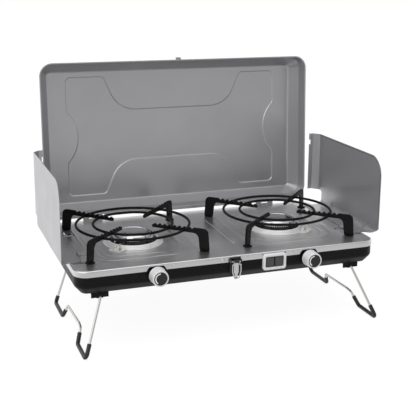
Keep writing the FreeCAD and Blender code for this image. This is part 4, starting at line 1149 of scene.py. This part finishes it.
def floorFinish():
    finish = bpy.data.materials.new("paleFloor")
    finish.use_nodes = True
    tree = finish.node_tree
    tree.nodes.clear()
    path = addNode(tree, "ShaderNodeLightPath").outputs
    place = addNode(tree, "ShaderNodeTexCoord").outputs["Object"]
    shown = mathNode(tree, "ADD", path["Is Camera Ray"], path["Is Glossy Ray"], True)
    colour = mixColour(tree, shown, colourOf(stageSizes["floorLight"]), colourOf(stageSizes["floorSeen"]))
    seen = mathNode(tree, "MULTIPLY", path["Is Glossy Ray"], frontFade(tree, place, *stageSizes["shade"]))
    seen = mathNode(tree, "ADD", seen, path["Is Camera Ray"], True)
    shader = addNode(tree, "ShaderNodeBsdfPrincipled", {
        "Base Color": colour, "Roughness": 0.9, "Specular IOR Level": 0.0, "Emission Color": colourOf(1.0),
        "Emission Strength": mathNode(tree, "MULTIPLY", seen, stageSizes["glow"])})
    addNode(tree, "ShaderNodeOutputMaterial", {"Surface": shader.outputs[0]})
    return finish


def buildSky():
    world = bpy.data.worlds.new("studio")
    bpy.context.scene.world = world
    world.use_nodes = True
    tree = world.node_tree
    path = addNode(tree, "ShaderNodeLightPath").outputs
    place = addNode(tree, "ShaderNodeTexCoord").outputs["Generated"]
    clear = mathNode(tree, "ADD", path["Is Camera Ray"], path["Is Transmission Ray"], True)
    start, end, share = stageSizes["topFade"]
    shown = mathNode(tree, "MULTIPLY", frontFade(tree, place, *stageSizes["skyShade"]),
                     rangeNode(tree, splitNode(tree, place)["Z"], start, end, 1.0, share))
    glossy = mathNode(tree, "MULTIPLY", path["Is Glossy Ray"],
                      mathNode(tree, "SUBTRACT", shown, stageSizes["skyLevel"]))
    base = rangeNode(tree, clear, 0.0, 1.0, stageSizes["skyLevel"], 1.0)
    background = tree.nodes["Background"]
    background.inputs["Color"].default_value = colourOf(1.0)
    tree.links.new(mathNode(tree, "ADD", base, glossy), background.inputs["Strength"])


def buildFloor():
    bm = bmesh.new()
    half = stageSizes["floor"] / 2
    bm.faces.new([bm.verts.new((x, y, stageSizes["floorLevel"]))
                  for x, y in ((-half, -half), (half, -half), (half, half), (-half, half))])
    floor = linked("floor", meshFrom("floor", bm))
    floor.data.materials.append(floorFinish())


def addLamp(name, place, aim, size, power):
    light = bpy.data.lights.new(name, "AREA")
    light.shape = "RECTANGLE"
    light.size, light.size_y = size
    light.energy = power
    lamp = linked(name, light)
    lamp.location = place
    lamp.rotation_euler = (Vector(aim) - Vector(place)).to_track_quat("-Z", "Y").to_euler()


buildFloor()
buildSky()
# place, aim, size in metres, power
lamps = {"keyLamp": ((-1.9, -1.2, 2.3), (0, 0, 0.2), (3.2, 3.2), 34),
         "topLamp": ((0.3, 0.2, 2.8), (0, 0, 0.1), (3.4, 2.6), 28)}
for name, values in lamps.items():
    addLamp(name, *values)

# place in metres from the hob's middle, angles in degrees, focal length in mm
view = {"place": (-0.56935, -1.57332, 0.66598), "yaw": 20.64, "pitch": 13.76, "roll": 0.61, "focal": 77.55,
        "shift": (-0.0250, -0.0683)}


def buildCamera():
    yaw, pitch, roll = (math.radians(view[k]) for k in ("yaw", "pitch", "roll"))
    ahead = Vector((math.sin(yaw) * math.cos(pitch), math.cos(yaw) * math.cos(pitch), -math.sin(pitch)))
    level = Vector((math.cos(yaw), -math.sin(yaw), 0))
    upright = level.cross(ahead)
    right = level * math.cos(roll) + upright * math.sin(roll)
    up = upright * math.cos(roll) - level * math.sin(roll)
    data = bpy.data.cameras.new("camera")
    data.sensor_width = 36
    data.lens = view["focal"]
    data.shift_x, data.shift_y = view["shift"]
    camera = linked("camera", data)
    turn = Matrix((right, up, -ahead)).transposed().to_4x4()
    camera.matrix_world = Matrix.Translation(Vector(view["place"]) + Vector((0, depthShift * 0.001, 0))) @ turn
    bpy.context.scene.camera = camera


buildCamera()
bpy.context.scene.view_settings.view_transform = "Standard"
print("stage: scene ready")
